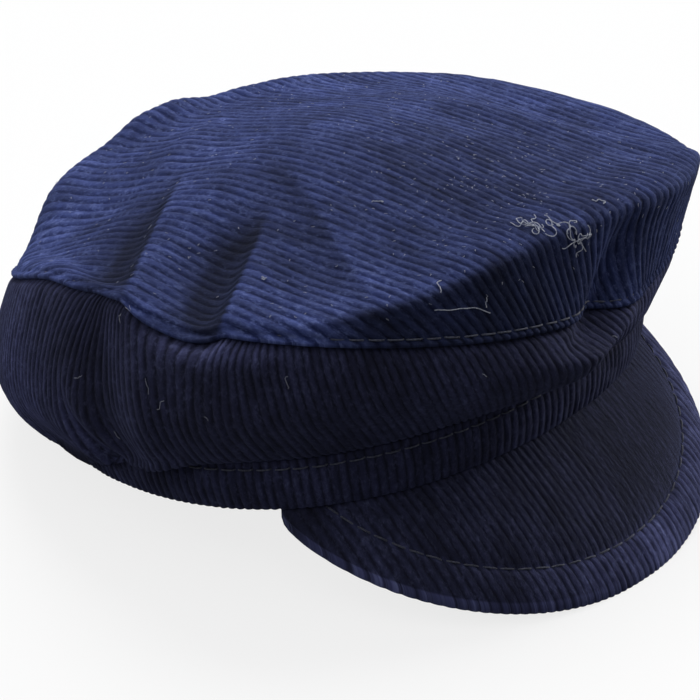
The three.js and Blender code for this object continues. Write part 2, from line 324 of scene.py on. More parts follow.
@dataclass(frozen=True)
class Pleat:
    """A crisp crest with a hollow on its left side, as seen walking from its start to its end."""

    start: Pair
    end: Pair
    crest: float
    hollow: float
    reach: float

    SOFTNESS = 1.3  # how rounded the crest is
    CREST_FALL = 9.0  # how far the crest spreads
    START_FADE = 0.5  # of the line's length
    END_FADE = 0.9
    END_LEFT = 0.4  # share of the pleat that is left at the line's end
    SHADE_PER_HOLLOW = 0.28  # painted shade for each millimetre of hollow
    SHADE_EDGE = 2.0
    SHADE_SPREAD = 1.8  # of the pleat's reach

    def _place(self, where: Array) -> tuple[Array, Array]:
        """Find places against the pleat.

        Args:
            where: Places, any shape by 2.

        Returns:
            How fully the pleat is formed there, and the distance to its left.
        """
        along, left = beside_line(self.start, self.end, where)
        begun = smooth(along / self.START_FADE + 0.5)
        return begun * smooth((1.0 - along) / self.END_FADE + self.END_LEFT), left

    def at(self, where: Array) -> Array:
        """Work out the pleat, which fades out past its two ends.

        Args:
            where: Places, any shape by 2.

        Returns:
            Height of the pleat at each place.
        """
        ends, left = self._place(where)
        rounded = np.hypot(left, self.SOFTNESS)
        t = (left + rounded) / 2.0 / self.reach
        crest = self.crest * np.exp(-rounded / self.CREST_FALL)
        return ends * (crest - self.hollow * t * np.exp(1.0 - t))

    def shade_at(self, where: Array) -> Array:
        """Painted shade on the steep side of the pleat, most of all beside the crest.

        Args:
            where: Places, any shape by 2.

        Returns:
            How deep the painted shade is at each place.
        """
        ends, left = self._place(where)
        side = smooth(left / self.SHADE_EDGE + 0.5) * hump(left, self.reach * self.SHADE_SPREAD)
        return ends * side * self.hollow * self.SHADE_PER_HOLLOW


# Seen from above, in millimetres.
PANEL_FOLDS = {
    "step": Pleat((-81, -4), (-36, 29), 1.4, 4.8, 7),
    "deep dent": Pleat((-76, -32), (-42, -10), 1.5, 6.5, 7),
    "middle drag": Pleat((-46, -50), (-24, 0), 0.6, 1.8, 7),
    "back wave": Fold((5, 60), (-60, 28), 1.5, 7),
    "back puff": Fold((-12, 84), (12, 84), 4, 12),
    "corner ridge": Fold((66, -62), (42, 20), 2.5, 9),
    "far hollow": Fold((72, -40), (66, 20), -2.5, 10),
}


@dataclass(frozen=True)
class Swell:
    """A broad rise of the top panel, seen from above: its middle, height and half width."""

    x: float
    y: float
    height: float
    half_width: float

    def at(self, where: Array) -> Array:
        """Height of the swell."""
        return self.height * hump(np.hypot(where[..., 0] - self.x, where[..., 1] - self.y), self.half_width)


CROWN_DOME = Swell(-10, 8, 9, 50)

# Each end is an angle around and a place from 0 at the headband to 3 at the seam.
BAND_FOLDS = {
    "corner hollow": Fold((-85, 0.6), (-83, 2.8), -3.4, 7),
    "corner ridge": Fold((-76, 0.4), (-74, 2.8), 1.4, 5),
    "front tuck": Fold((-2, 2.6), (14, 3.6), -4.5, 3.2),
    "front swell": Fold((0, 0.8), (0, 2.6), 3, 9),
    "front crease": Fold((-46, 4.05), (60, 4.05), 3.0, 4),
    "tuck lip": Fold((1, 2.2), (17, 3.2), 2.2, 4),
    "seam bulge": Fold((-70, 2.75), (-50, 2.7), 3.0, 3.6),
    "upper drag": Fold((-90, 2.0), (-82, 0.5), 1.6, 2.6),
    "drag hollow": Fold((-92.5, 1.9), (-84.5, 0.5), -2.6, 3),
    "lower drag": Fold((-95, 1.7), (-87, 0.4), 1.4, 2.6),
    "flat corner": Fold((-110, 1.4), (-93, 1.0), -4.5, 7),
    "hem sag": Fold((-86, 0.8), (-72, 0.6), 2.5, 4),
}


@dataclass
class CapShape:
    """The surface that the cap's cloth follows, before its ribs."""

    opening_half_length: float = 72.0
    opening_half_width: float = 79.0
    opening_fullness: float = 2.2
    rest_pitch: float = 11.8
    rest_sink: float = 1.2
    headband_height: float = 13.4
    headband_wall: float = 2.0
    headband_flare: float = 1.5
    crown_wall: float = 1.6
    seam_gap: float = 0.3
    crown_top: float = 62.0
    crown_shift: Pair = (0.0, 6.0)
    panel_insets: tuple[float, ...] = (0.8, 0.55, 0.28)
    peak_reach: float = 43.5
    peak_half_spread: float = 57.0
    peak_fullness: float = 0.74
    peak_slope: float = 37.0
    peak_fan: float = 0.46
    peak_bow: float = 2.2
    peak_thickness: float = 3.0
    peak_corner_reach: float = 3.0
    peak_tuck: float = -1.2
    band_mm_per_degree: float = 1.45
    band_mm_per_place: float = 14.0

    SEAM_PLACE = 3
    CENTRE_PLACE = 8
    CENTRE_NEAR = 0.01  # how close to the centre counts as there
    PANEL_FOLDS_FROM = 1.6  # place where the folds of the top panel begin
    PANEL_FOLDS_FADE = 1.4
    BAND_FOLDS_FADE = 0.5  # the side band's folds begin at the headband
    NORMAL_PLACES = 0.05  # half of the step that a normal is measured over
    NORMAL_DEGREES = 1.5

    def __post_init__(self) -> None:
        """Lay out the table of sections."""
        self.sections = RoundTable(CROWN_SECTIONS)

    def opening_radius(self, around: Array) -> Array:
        """Measure the head opening.

        Args:
            around: Angles in degrees.

        Returns:
            Distance from the middle of the opening to its rim.
        """
        turn = np.radians(around)
        side = np.abs(np.sin(turn)) / self.opening_half_width
        front = np.abs(np.cos(turn)) / self.opening_half_length
        power = self.opening_fullness
        return (side**power + front**power) ** (-1.0 / power)

    def posed(self, x: Array, y: Array, up: Array) -> Array:
        """A place given in the plane of the opening, put into the resting pose.

        Args:
            x: Sideways.
            y: Toward the back.
            up: Above the plane of the opening.

        Returns:
            Positions in the resting pose, raised at the front.
        """
        pitch = math.radians(self.rest_pitch)
        from_back = y - self.opening_half_length
        back = self.opening_half_length + from_back * math.cos(pitch) + up * math.sin(pitch)
        height = up * math.cos(pitch) - from_back * math.sin(pitch) - self.rest_sink
        return np.stack(np.broadcast_arrays(x, back, height), axis=-1)

    def ring_point(self, around: Array, out: Array, up: Array) -> Array:
        """Find places near the opening's rim.

        Args:
            around: Angles in degrees.
            out: Distance outward from the rim.
            up: Distance above the plane of the opening.

        Returns:
            Positions in the resting pose.
        """
        radius = self.opening_radius(around) + out
        turn = np.radians(around)
        return self.posed(radius * np.sin(turn), -radius * np.cos(turn), up)

    def _guides(self, around: Array) -> Array:
        """Lay out the guide points of the sections.

        Args:
            around: Angles in degrees, in one row.

        Returns:
            Angles by guide points by 3, from the headband over the seam to the middle.
        """
        values = self.sections.at(around)
        low_out, low_up, high_out, high_up, seam_out, seam_up, bend_out, bend_up = np.moveaxis(values, -1, 0)
        bend = self.ring_point(around, bend_out, bend_up)
        centre = self.posed(*self.crown_shift, self.crown_top)
        level = self.posed(*self.crown_shift, bend_up)
        rise = centre - level
        points = [
            self.ring_point(around, self.headband_flare, self.headband_height),
            self.ring_point(around, low_out, low_up),
            self.ring_point(around, high_out, high_up),
            self.ring_point(around, seam_out, seam_up),
            bend,
        ]
        for inset in self.panel_insets:
            points.append(level + (bend - level) * inset + rise * (1.0 - inset**2))
        points.append(np.broadcast_to(centre, bend.shape))
        return np.stack(points, axis=-2)

    def crown_point(self, around: Array, place: Array) -> Array:
        """Outer surface of the crown.

        Args:
            around: Angles in degrees.
            place: 0 at the headband, 3 at the seam, 4 at the bend, 8 in the middle of the top.

        Returns:
            Positions, the arguments' shape by 3.
        """
        around, place = np.broadcast_arrays(np.asarray(around, float), np.asarray(place, float))
        flat_around = around.ravel()
        flat_place = place.ravel()
        here = self._guides(flat_around)
        across = self._guides(flat_around + 180.0)
        below = 2.0 * here[:, :1] - here[:, 1:2]
        beyond = across[:, [self.CENTRE_PLACE - 1, self.CENTRE_PLACE - 2]]
        guides = np.concatenate([below, here, beyond], axis=1)
        first = np.clip(np.floor(flat_place).astype(int), 0, self.CENTRE_PLACE - 1)
        t = (flat_place - first)[:, None]
        rows = np.arange(len(first))
        p0, p1, p2, p3 = (guides[rows, first + k] for k in range(4))
        a = 2.0 * p1
        b = p2 - p0
        c = 2.0 * p0 - 5.0 * p1 + 4.0 * p2 - p3
        d = 3.0 * p1 - p0 - 3.0 * p2 + p3
        points = 0.5 * (a + t * (b + t * (c + t * d)))
        begun = smooth((flat_place - self.PANEL_FOLDS_FROM) / self.PANEL_FOLDS_FADE)
        points[:, 2] += begun * self._panel_folds(points[:, :2])
        outward = self._band_folds(flat_around, flat_place)
        turn = np.radians(flat_around)
        points[:, 0] += outward * np.sin(turn)
        points[:, 1] -= outward * np.cos(turn)
        return points.reshape(*around.shape, 3)

    def _panel_folds(self, where: Array) -> Array:
        """Height of all folds of the top panel and of its dome."""
        return sum(fold.at(where) for fold in PANEL_FOLDS.values()) + CROWN_DOME.at(where)

    def _band_folds(self, around: Array, place: Array) -> Array:
        """Add up the folds of the side band.

        Args:
            around: Angles in degrees.
            place: Places up the profile.

        Returns:
            How far the folds stand outward.
        """
        angle = wrapped(around)
        scale = np.array([self.band_mm_per_degree, self.band_mm_per_place])
        where = np.stack(np.broadcast_arrays(angle, place), axis=-1) * scale
        flat = [replace(f, start=f.start * scale, end=f.end * scale) for f in BAND_FOLDS.values()]
        return sum(fold.at(where) for fold in flat) * smooth(place / self.BAND_FOLDS_FADE)

    def crown_normal(self, around: Array, place: Array) -> Array:
        """Outward directions of the crown.

        Args:
            around: Angles in degrees.
            place: Places up the profile.

        Returns:
            Unit normals, the arguments' shape by 3.
        """
        around, place = np.broadcast_arrays(np.asarray(around, float), np.asarray(place, float))
        low = np.maximum(place - self.NORMAL_PLACES, 0.0)
        high = np.minimum(place + self.NORMAL_PLACES, self.CENTRE_PLACE)
        up = self.crown_point(around, high) - self.crown_point(around, low)
        after, before = around + self.NORMAL_DEGREES, around - self.NORMAL_DEGREES
        side = self.crown_point(after, place) - self.crown_point(before, place)
        normal = unit(np.cross(side, up))
        pitch = math.radians(self.rest_pitch)
        level = np.array([0.0, math.sin(pitch), math.cos(pitch)])
        middle = (high >= self.CENTRE_PLACE - self.CENTRE_NEAR)[..., None]
        return np.where(middle, level, normal)

    def headband_point(self, around: Array, up: Array) -> Array:
        """Outer face of the headband."""
        return self.ring_point(around, self.headband_flare * up / self.headband_height, up)

    def peak_reach_at(self, around: Array) -> tuple[Array, Array]:
        """Measure the peak along its slope.

        Args:
            around: Angles in degrees.

        Returns:
            The peak's reach, and how near it is to the fullest, from 0 to 1.
        """
        share = np.clip(np.cos(math.pi / 2.0 * around / self.peak_half_spread), 0.0, 1.0)
        spare = self.peak_reach - self.peak_corner_reach
        return self.peak_corner_reach + spare * share**self.peak_fullness, share

    def peak_point(self, around: Array, along: Array) -> Array:
        """Top face of the peak.

        Args:
            around: Angle at which the line starts from the headband.
            along: 0 at the headband and 1 at the outer edge.

        Returns:
            Positions, the arguments' shape by 3.
        """
        around, along = np.broadcast_arrays(np.asarray(around, float), np.asarray(along, float))
        start = self.ring_point(around, self.peak_tuck, 0.0)
        reach, share = self.peak_reach_at(around)
        aside = self.peak_fan * np.sin(np.radians(around))
        heading = unit(np.stack([aside, -np.ones_like(aside), np.zeros_like(aside)], axis=-1))
        slope = math.radians(self.peak_slope)
        point = start + heading * (reach * along * math.cos(slope))[..., None]
        point[..., 2] += self.peak_bow * share * np.sin(math.pi * along)
        point[..., 2] -= reach * along * math.sin(slope)
        return point


class ArcTable:
    """True distance along the crown's sections, and the place found at any share of it."""

    STEPS = 720
    SAMPLES = 181
    SHARES = 161

    def __init__(self, shape: CapShape, start: float, end: float) -> None:
        """Measure the crown from one place to another.

        Args:
            shape: The cap's surface.
            start: Place where the distance is 0.
            end: Place where the share is 1.
        """
        self.angles = np.arange(self.STEPS) * FULL_TURN / self.STEPS
        places = np.linspace(start, end, self.SAMPLES)
        points = shape.crown_point(*np.meshgrid(self.angles, places, indexing="ij"))
        steps = np.linalg.norm(np.diff(points, axis=1), axis=-1)
        run = np.concatenate([np.zeros((self.STEPS, 1)), np.cumsum(steps, axis=1)], axis=1)
        self.total = run[:, -1]
        shares = np.linspace(0.0, 1.0, self.SHARES)
        self.places = np.array([np.interp(shares * r[-1], r, places) for r in run])

    def _angle_index(self, around: Array) -> tuple[Array, Array, Array]:
        """Find angles in the table.

        Args:
            around: Angles in degrees.

        Returns:
            The measured angles on either side of each, and the weight of the second.
        """
        step = np.mod(around, FULL_TURN) * self.STEPS / FULL_TURN
        low = np.floor(step).astype(int)
        return low % self.STEPS, (low + 1) % self.STEPS, step - low

    def length(self, around: Array) -> Array:
        """Whole distance at each angle."""
        low, high, t = self._angle_index(around)
        return self.total[low] * (1.0 - t) + self.total[high] * t

    def place(self, around: Array, share: Array) -> Array:
        """Find the place on the crown at a share of the whole distance.

        Args:
            around: Angles in degrees.
            share: Share of the distance, from 0 to 1.

        Returns:
            Places up the profile.
        """
        low, high, t = self._angle_index(around)
        row = np.clip(share, 0.0, 1.0) * (self.SHARES - 1)
        under = np.minimum(np.floor(row).astype(int), self.SHARES - 2)
        s = row - under
        first = self.places[low, under] * (1.0 - s) + self.places[low, under + 1] * s
        second = self.places[high, under] * (1.0 - s) + self.places[high, under + 1] * s
        return first * (1.0 - t) + second * t


# ---------------------- cloth meshes


def grid_quads(index: Array) -> list[tuple[int, ...]]:
    """Faces between neighbouring columns and rows of a grid of point numbers."""
    quads = np.stack([index[:-1, :-1], index[1:, :-1], index[1:, 1:], index[:-1, 1:]], axis=-1)
    return list(map(tuple, quads.reshape(-1, 4).tolist()))


class PieceMesh:
    """Points and faces of one piece, gathered part by part."""

    def __init__(self) -> None:
        """Start with nothing."""
        self.points: list[Array] = []
        self.faces: list[tuple[int, ...]] = []
        self.count = 0

    def to_object(self, name: str, offset: Array) -> Object:
        """Make the piece, with its origin at the frame's own.

        Args:
            name: The piece's name.
            offset: Added to every point, in millimetres.

        Returns:
            The object in metres, shaded smooth, its faces turned outward.
        """
        places = np.concatenate(self.points) + offset
        places[:, 2] = np.maximum(places[:, 2], FLOOR_CLEARANCE)
        mesh = bpy.data.meshes.new(name)
        mesh.from_pydata((places * MM).tolist(), [], self.faces)
        whole = bmesh.new()
        whole.from_mesh(mesh)
        bmesh.ops.recalc_face_normals(whole, faces=whole.faces)
        whole.to_mesh(mesh)
        whole.free()
        mesh.polygons.foreach_set("use_smooth", np.ones(len(mesh.polygons), bool))
        mesh.update()
        piece = bpy.data.objects.new(name, mesh)
        bpy.context.scene.collection.objects.link(piece)
        return piece


class ClothMesh(PieceMesh):
    """A piece of cloth, with the height on the rib, the place in the cloth and the shade of each point."""

    def __init__(self) -> None:
        """Start with nothing."""
        super().__init__()
        self.ridges: list[Array] = []
        self.cloth: list[Array] = []
        self.shades: list[Array] = []

    def add_points(
        self, points: Array, ridge: Array | float, cloth: Array, shade: Array | float = 0.0
    ) -> Array:
        """Add points.

        Args:
            points: Positions, any shape by 3.
            ridge: Height on the rib, from -1 in a groove to 1 on top.
            cloth: Position in the flat cloth, across and along the ribs, any shape by 2.
            shade: Painted shade, from 0 for none to 1 for the deepest.

        Returns:
            The points' numbers, in the same shape.
        """
        shape = points.shape[:-1]
        number = int(np.prod(shape))
        index = np.arange(self.count, self.count + number).reshape(shape)
        self.points.append(points.reshape(-1, 3))
        self.ridges.append(np.broadcast_to(ridge, shape).ravel())
        self.cloth.append(np.broadcast_to(cloth, (*shape, 2)).reshape(-1, 2))
        self.shades.append(np.broadcast_to(shade, shape).ravel())
        self.count += number
        return index

    def add_quads(self, index: Array, closed: bool = False) -> None:
        """Add the faces of a grid.

        Args:
            index: Point numbers, columns by rows.
            closed: Whether the last column is joined to the first one.
        """
        if closed:
            index = np.concatenate([index, index[:1]], axis=0)
        self.faces.extend(grid_quads(index))

    def zip_loops(self, first: Array, first_at: Array, second: Array, second_at: Array) -> None:
        """Join two closed loops that have different numbers of points.

        Args:
            first: Point numbers of the one loop.
            first_at: Their angles, rising through one turn.
            second: Point numbers of the other loop.
            second_at: Their angles, rising through one turn.
        """
        shift = int(np.argmin(np.abs(wrapped(second_at - first_at[0]))))
        second = np.roll(second, -shift)
        turned = wrapped(np.roll(second_at, -shift) - first_at[0])
        turned = np.unwrap(turned, period=FULL_TURN)
        own = first_at - first_at[0]
        own = np.append(own, FULL_TURN)
        turned = np.append(turned, turned[0] + FULL_TURN)
        a = np.append(first, first[0]).tolist()
        b = np.append(second, second[0]).tolist()
        i, j = 0, 0
        while i < len(a) - 1 or j < len(b) - 1:
            if j == len(b) - 1 or (i < len(a) - 1 and own[i + 1] <= turned[j + 1]):
                self.faces.append((a[i], a[i + 1], b[j]))
                i += 1
            else:
                self.faces.append((a[i], b[j + 1], b[j]))
                j += 1

    def to_object(self, name: str, offset: Array) -> Object:
        """Make the piece and store the cloth's values on its points.

        Args:
            name: The piece's name.
            offset: Added to every point, in millimetres.

        Returns:
            The object.
        """
        piece = super().to_object(name, offset)
        for label, values in (("ridge", self.ridges), ("shade", self.shades)):
            layer = piece.data.attributes.new(label, "FLOAT", "POINT")
            layer.data.foreach_set("value", np.concatenate(values).astype(np.float32))
        cloth = np.zeros((self.count, 3), np.float32)
        cloth[:, :2] = np.concatenate(self.cloth)
        flat = piece.data.attributes.new("cloth", "FLOAT_VECTOR", "POINT")
        flat.data.foreach_set("vector", cloth.ravel())
        return piece


@dataclass(frozen=True)
class Ribs:
    """The corduroy's ribs: broad rounded ridges with narrow grooves between them."""

    pitch: float = 2.3
    half_depth: float = 0.17
    steps: tuple[float, ...] = (0.0, 0.13, 0.31, 0.5, 0.69, 0.87)
    heights: tuple[float, ...] = (-1.0, -0.25, 0.72, 1.0, 0.72, -0.25)
    unevenness: float = 0.75
    crush: Triple = (0.5, 0.3, 0.35)  # shares of long, broad and fine crushes
    long_crush: Pair = (1.3, 4.0)  # width in ribs, and length
    broad_crush: float = 14.0
    fine_crush: Pair = (0.6, 2.0)  # width in ribs, and length

    BROAD_SHIFT = 40.0  # added to the place in the cloth, so that the three parts differ
    FINE_SHIFT = 90.0

    def columns(self, first: int, last: int) -> tuple[Array, Array]:
        """Columns of points across the ribs.

        Args:
            first: Number of the first rib.
            last: Number of the rib after the last one.

        Returns:
            Where each column is, counted in ribs, and its height from -1 to 1.
        """
        rib = np.arange(first, last)[:, None]
        place = (rib + np.array(self.steps)[None, :]).ravel()
        height = np.broadcast_to(self.heights, (last - first, len(self.steps))).ravel()
        return place, height

    def spaced(self, turn: Array, line: Array) -> tuple[Array, Array, Array]:
        """Space whole ribs evenly along a closed line.

        Args:
            turn: Angles once around.
            line: Points at those angles.

        Returns:
            Angle, distance around and height on the rib of each column.
        """
        run = run_length(line)
        count = round(run[-1] / self.pitch)
        place, ridge = self.columns(0, count)
        distance = place * run[-1] / count
        return np.interp(distance, run, turn), distance, ridge

    def rise(self, ridge: Array, cloth: Array, noise: SoftNoise) -> Array:
        """How far the pile stands out from the cloth.

        Args:
            ridge: Height on the rib, from -1 to 1.
            cloth: Position in the flat cloth, by 2.
            noise: Source of the unevenness.

        Returns:
            Distance along the normal, in millimetres.
        """
        where = np.concatenate([cloth, np.zeros((*cloth.shape[:-1], 1))], axis=-1)
        long_share, broad_share, fine_share = self.crush
        crushed = (
            noise.at(where, (self.pitch * self.long_crush[0], self.long_crush[1], 1.0)) * long_share
            + noise.at(where + self.BROAD_SHIFT, self.broad_crush) * broad_share
            + noise.at(where + self.FINE_SHIFT, (self.pitch * self.fine_crush[0], self.fine_crush[1], 1.0))
            * fine_share
        )
        return self.half_depth * ridge * (1.0 + self.unevenness * crushed)


@dataclass(frozen=True)
class EdgeRoll:
    """How a cloth edge turns under into its seam."""

    radius: float = 0.75
    turns: tuple[float, ...] = (25.0, 50.0, 75.0, 95.0)
    inner_out: float = 0.8

    def add(self, mesh: ClothMesh, loop: Array, edge: "EdgeLoop", wall: float) -> Array:
        """Add the rounded edge to a loop of outer points.

        Args:
            mesh: The piece under way.
            loop: Point numbers of the outer surface's edge.
            edge: The same points, with their directions and cloth values.
            wall: Thickness of the cloth.

        Returns:
            Point numbers of the last row, on the inner side.
        """
        rows = [loop]
        middle = edge.points - edge.normals * self.radius
        for turn in np.radians(self.turns):
            ring = middle + (edge.normals * math.cos(turn) + edge.outward * math.sin(turn)) * self.radius
            rows.append(mesh.add_points(ring, edge.ridge, edge.cloth, edge.shade))
        inner = edge.points - edge.normals * wall + edge.outward * self.radius * self.inner_out
        rows.append(mesh.add_points(inner, -1.0, edge.cloth, edge.shade))
        mesh.add_quads(np.stack(rows, axis=1), closed=True)
        return rows[-1]


@dataclass(frozen=True)
class EdgeLoop:
    """A closed edge of a cloth surface."""

    points: Array
    normals: Array
    outward: Array
    ridge: Array
    cloth: Array
    shade: Array | float = 0.0


def spaced_rows(length: Array, count: int, edge_rows: int, edge_width: float) -> Array:
    """Shares of the way down each column, closer together at both ends.

    Args:
        length: Length of each column.
        count: Rows in all.
        edge_rows: Rows in the close part of each end.
        edge_width: Width of that part.

    Returns:
        Columns by rows, from 0 to 1.
    """
    width = np.minimum(edge_width, length * edge_rows / (count - 1.0)) / length
    key = np.array([0, edge_rows, count - 1 - edge_rows, count - 1], float)
    rows = np.arange(count, dtype=float)
    return np.array([np.interp(rows, key, [0.0, w, 1.0 - w, 1.0]) for w in width])


class ThreadMesh(PieceMesh):
    """Fine threads as closed round tubes in one mesh."""

    SIDES = 6

    def add(self, path: Array, normals: Array, radius: Array | float) -> None:
        """Add one thread.

        Args:
            path: Points along its middle.
            normals: Direction away from the cloth at each point.
            radius: Radius at each point, or one for all.
        """
        tangent = unit(np.gradient(path, axis=0))
        side = unit(np.cross(tangent, normals))
        over = np.cross(side, tangent)
        turn = np.arange(self.SIDES) * 2.0 * math.pi / self.SIDES
        size = np.broadcast_to(radius, len(path))[:, None, None]
        round_ = side[:, None] * np.cos(turn)[None, :, None] + over[:, None] * np.sin(turn)[None, :, None]
        ring = path[:, None] + round_ * size
        index = np.arange(self.count, self.count + len(path) * self.SIDES).reshape(len(path), self.SIDES)
        self.faces.extend(grid_quads(np.concatenate([index, index[:, :1]], axis=1)))
        self.faces.append(tuple(index[0].tolist()))
        self.faces.append(tuple(index[-1][::-1].tolist()))
        self.points.append(ring.reshape(-1, 3))
        self.count += len(path) * self.SIDES


@dataclass(frozen=True)
class Topstitch:
    """A row of sewn stitches along a line on the cloth."""

    stitch: float = 3.9
    gap: float = 0.7
    thread_radius: float = 0.2
    bow: float = 0.3
    sink: float = 0.35
    points: int = 9
    unevenness: float = 0.12
    skew: float = 0.1
    seed: int = 5

    def sew(self, threads: ThreadMesh, path: Array, normals: Array) -> int:
        """Sew along a line.

        Args:
            threads: Where the stitches go.
            path: Dense points along the line, on the cloth between ridge and groove.
            normals: Normals of the cloth there.

        Returns:
            Number of stitches.
        """
        chooser = np.random.default_rng(self.seed)
        run = run_length(path)
        count = int(run[-1] // (self.stitch + self.gap))
        pitch = run[-1] / count
        share = np.linspace(0.0, 1.0, self.points)
        for k in range(count):
            start = k * pitch + chooser.normal(0.0, self.unevenness)
            at = np.clip(start + share * (pitch - self.gap), 0.0, run[-1])
            middle = np.stack([np.interp(at, run, path[:, axis]) for axis in range(3)], axis=-1)
            up = unit(np.stack([np.interp(at, run, normals[:, axis]) for axis in range(3)], axis=-1))
            aside = unit(np.cross(np.gradient(middle, axis=0), up))
            skew = chooser.normal(0.0, self.skew) * (share - 0.5)
            height = self.bow * np.sin(math.pi * share) ** 0.5 - self.sink * (2.0 * share - 1.0) ** 6
            line = middle + up * height[:, None] + aside * skew[:, None]
            threads.add(line, up, self.thread_radius)
        return count


# ---------------------- finishes


@dataclass(frozen=True)
class PileColours:
    """Colours of corduroy pile, from the groove to the worn top of a rib: the darker groove colour is partly
    the cloth's own, partly painted shade in the grooves.
    """

    groove: Triple
    ridge: Triple
    worn: Triple
    sheen: Triple


# Painted light: the top's colours are a lit copy of the cloth, with the sheen's light painted into them.
LIT_NAVY = PileColours(
    groove=(0.0120, 0.0190, 0.080),
    ridge=(0.0450, 0.0640, 0.200),
    worn=(0.094, 0.122, 0.295),
    sheen=(0.32, 0.43, 1.0),
)
# Painted shade: a darker copy of the same cloth, for the headband that lies in shade.
SHADED_NAVY = PileColours(
    groove=(0.0066, 0.0070, 0.0185),
    ridge=(0.0195, 0.0215, 0.0580),
    worn=(0.052, 0.058, 0.122),
    sheen=(0.42, 0.48, 1.0),
)
# Band and peak colours, darkened on those pieces by the painted shade they carry.
BAND_NAVY = PileColours(
    groove=(0.0153, 0.0165, 0.0425),
    ridge=(0.0465, 0.0515, 0.1350),
    worn=(0.115, 0.128, 0.265),
    sheen=(0.42, 0.48, 1.0),
)


Node = bpy.types.Node
NodeTree = bpy.types.NodeTree
Socket = bpy.types.NodeSocket


def feed(tree: NodeTree, node: Node, inputs: dict[str | int, object]) -> None:
    """Give a node its inputs.

    Args:
        tree: The nodes.
        node: One of them.
        inputs: For each of its sockets, a plain value or the output that feeds it.
    """
    for key, value in inputs.items():
        if isinstance(value, Socket):
            tree.links.new(value, node.inputs[key])
        else:
            node.inputs[key].default_value = value


def put(tree: NodeTree, kind: str, inputs: dict[str | int, object], **settings: object) -> Node:
    """Add a shader node.

    Args:
        tree: Where it goes.
        kind: Its type, without the "ShaderNode" that each starts with.
        inputs: For each socket, a plain value or the output that feeds it.
        settings: What is set on the node itself.

    Returns:
        The node.
    """
    node = tree.nodes.new("ShaderNode" + kind)
    for name, value in settings.items():
        setattr(node, name, value)
    feed(tree, node, inputs)
    return node


@dataclass(frozen=True)
class PileNoise:
    """One noise of the pile: how often it changes across and along the ribs, and how rough it is."""

    across: float
    along: float
    detail: float
    rough: float


@dataclass(frozen=True)
class Span:
    """A range of values, and what its two ends become."""

    low: float
    high: float
    low_becomes: float = 0.0
    high_becomes: float = 1.0


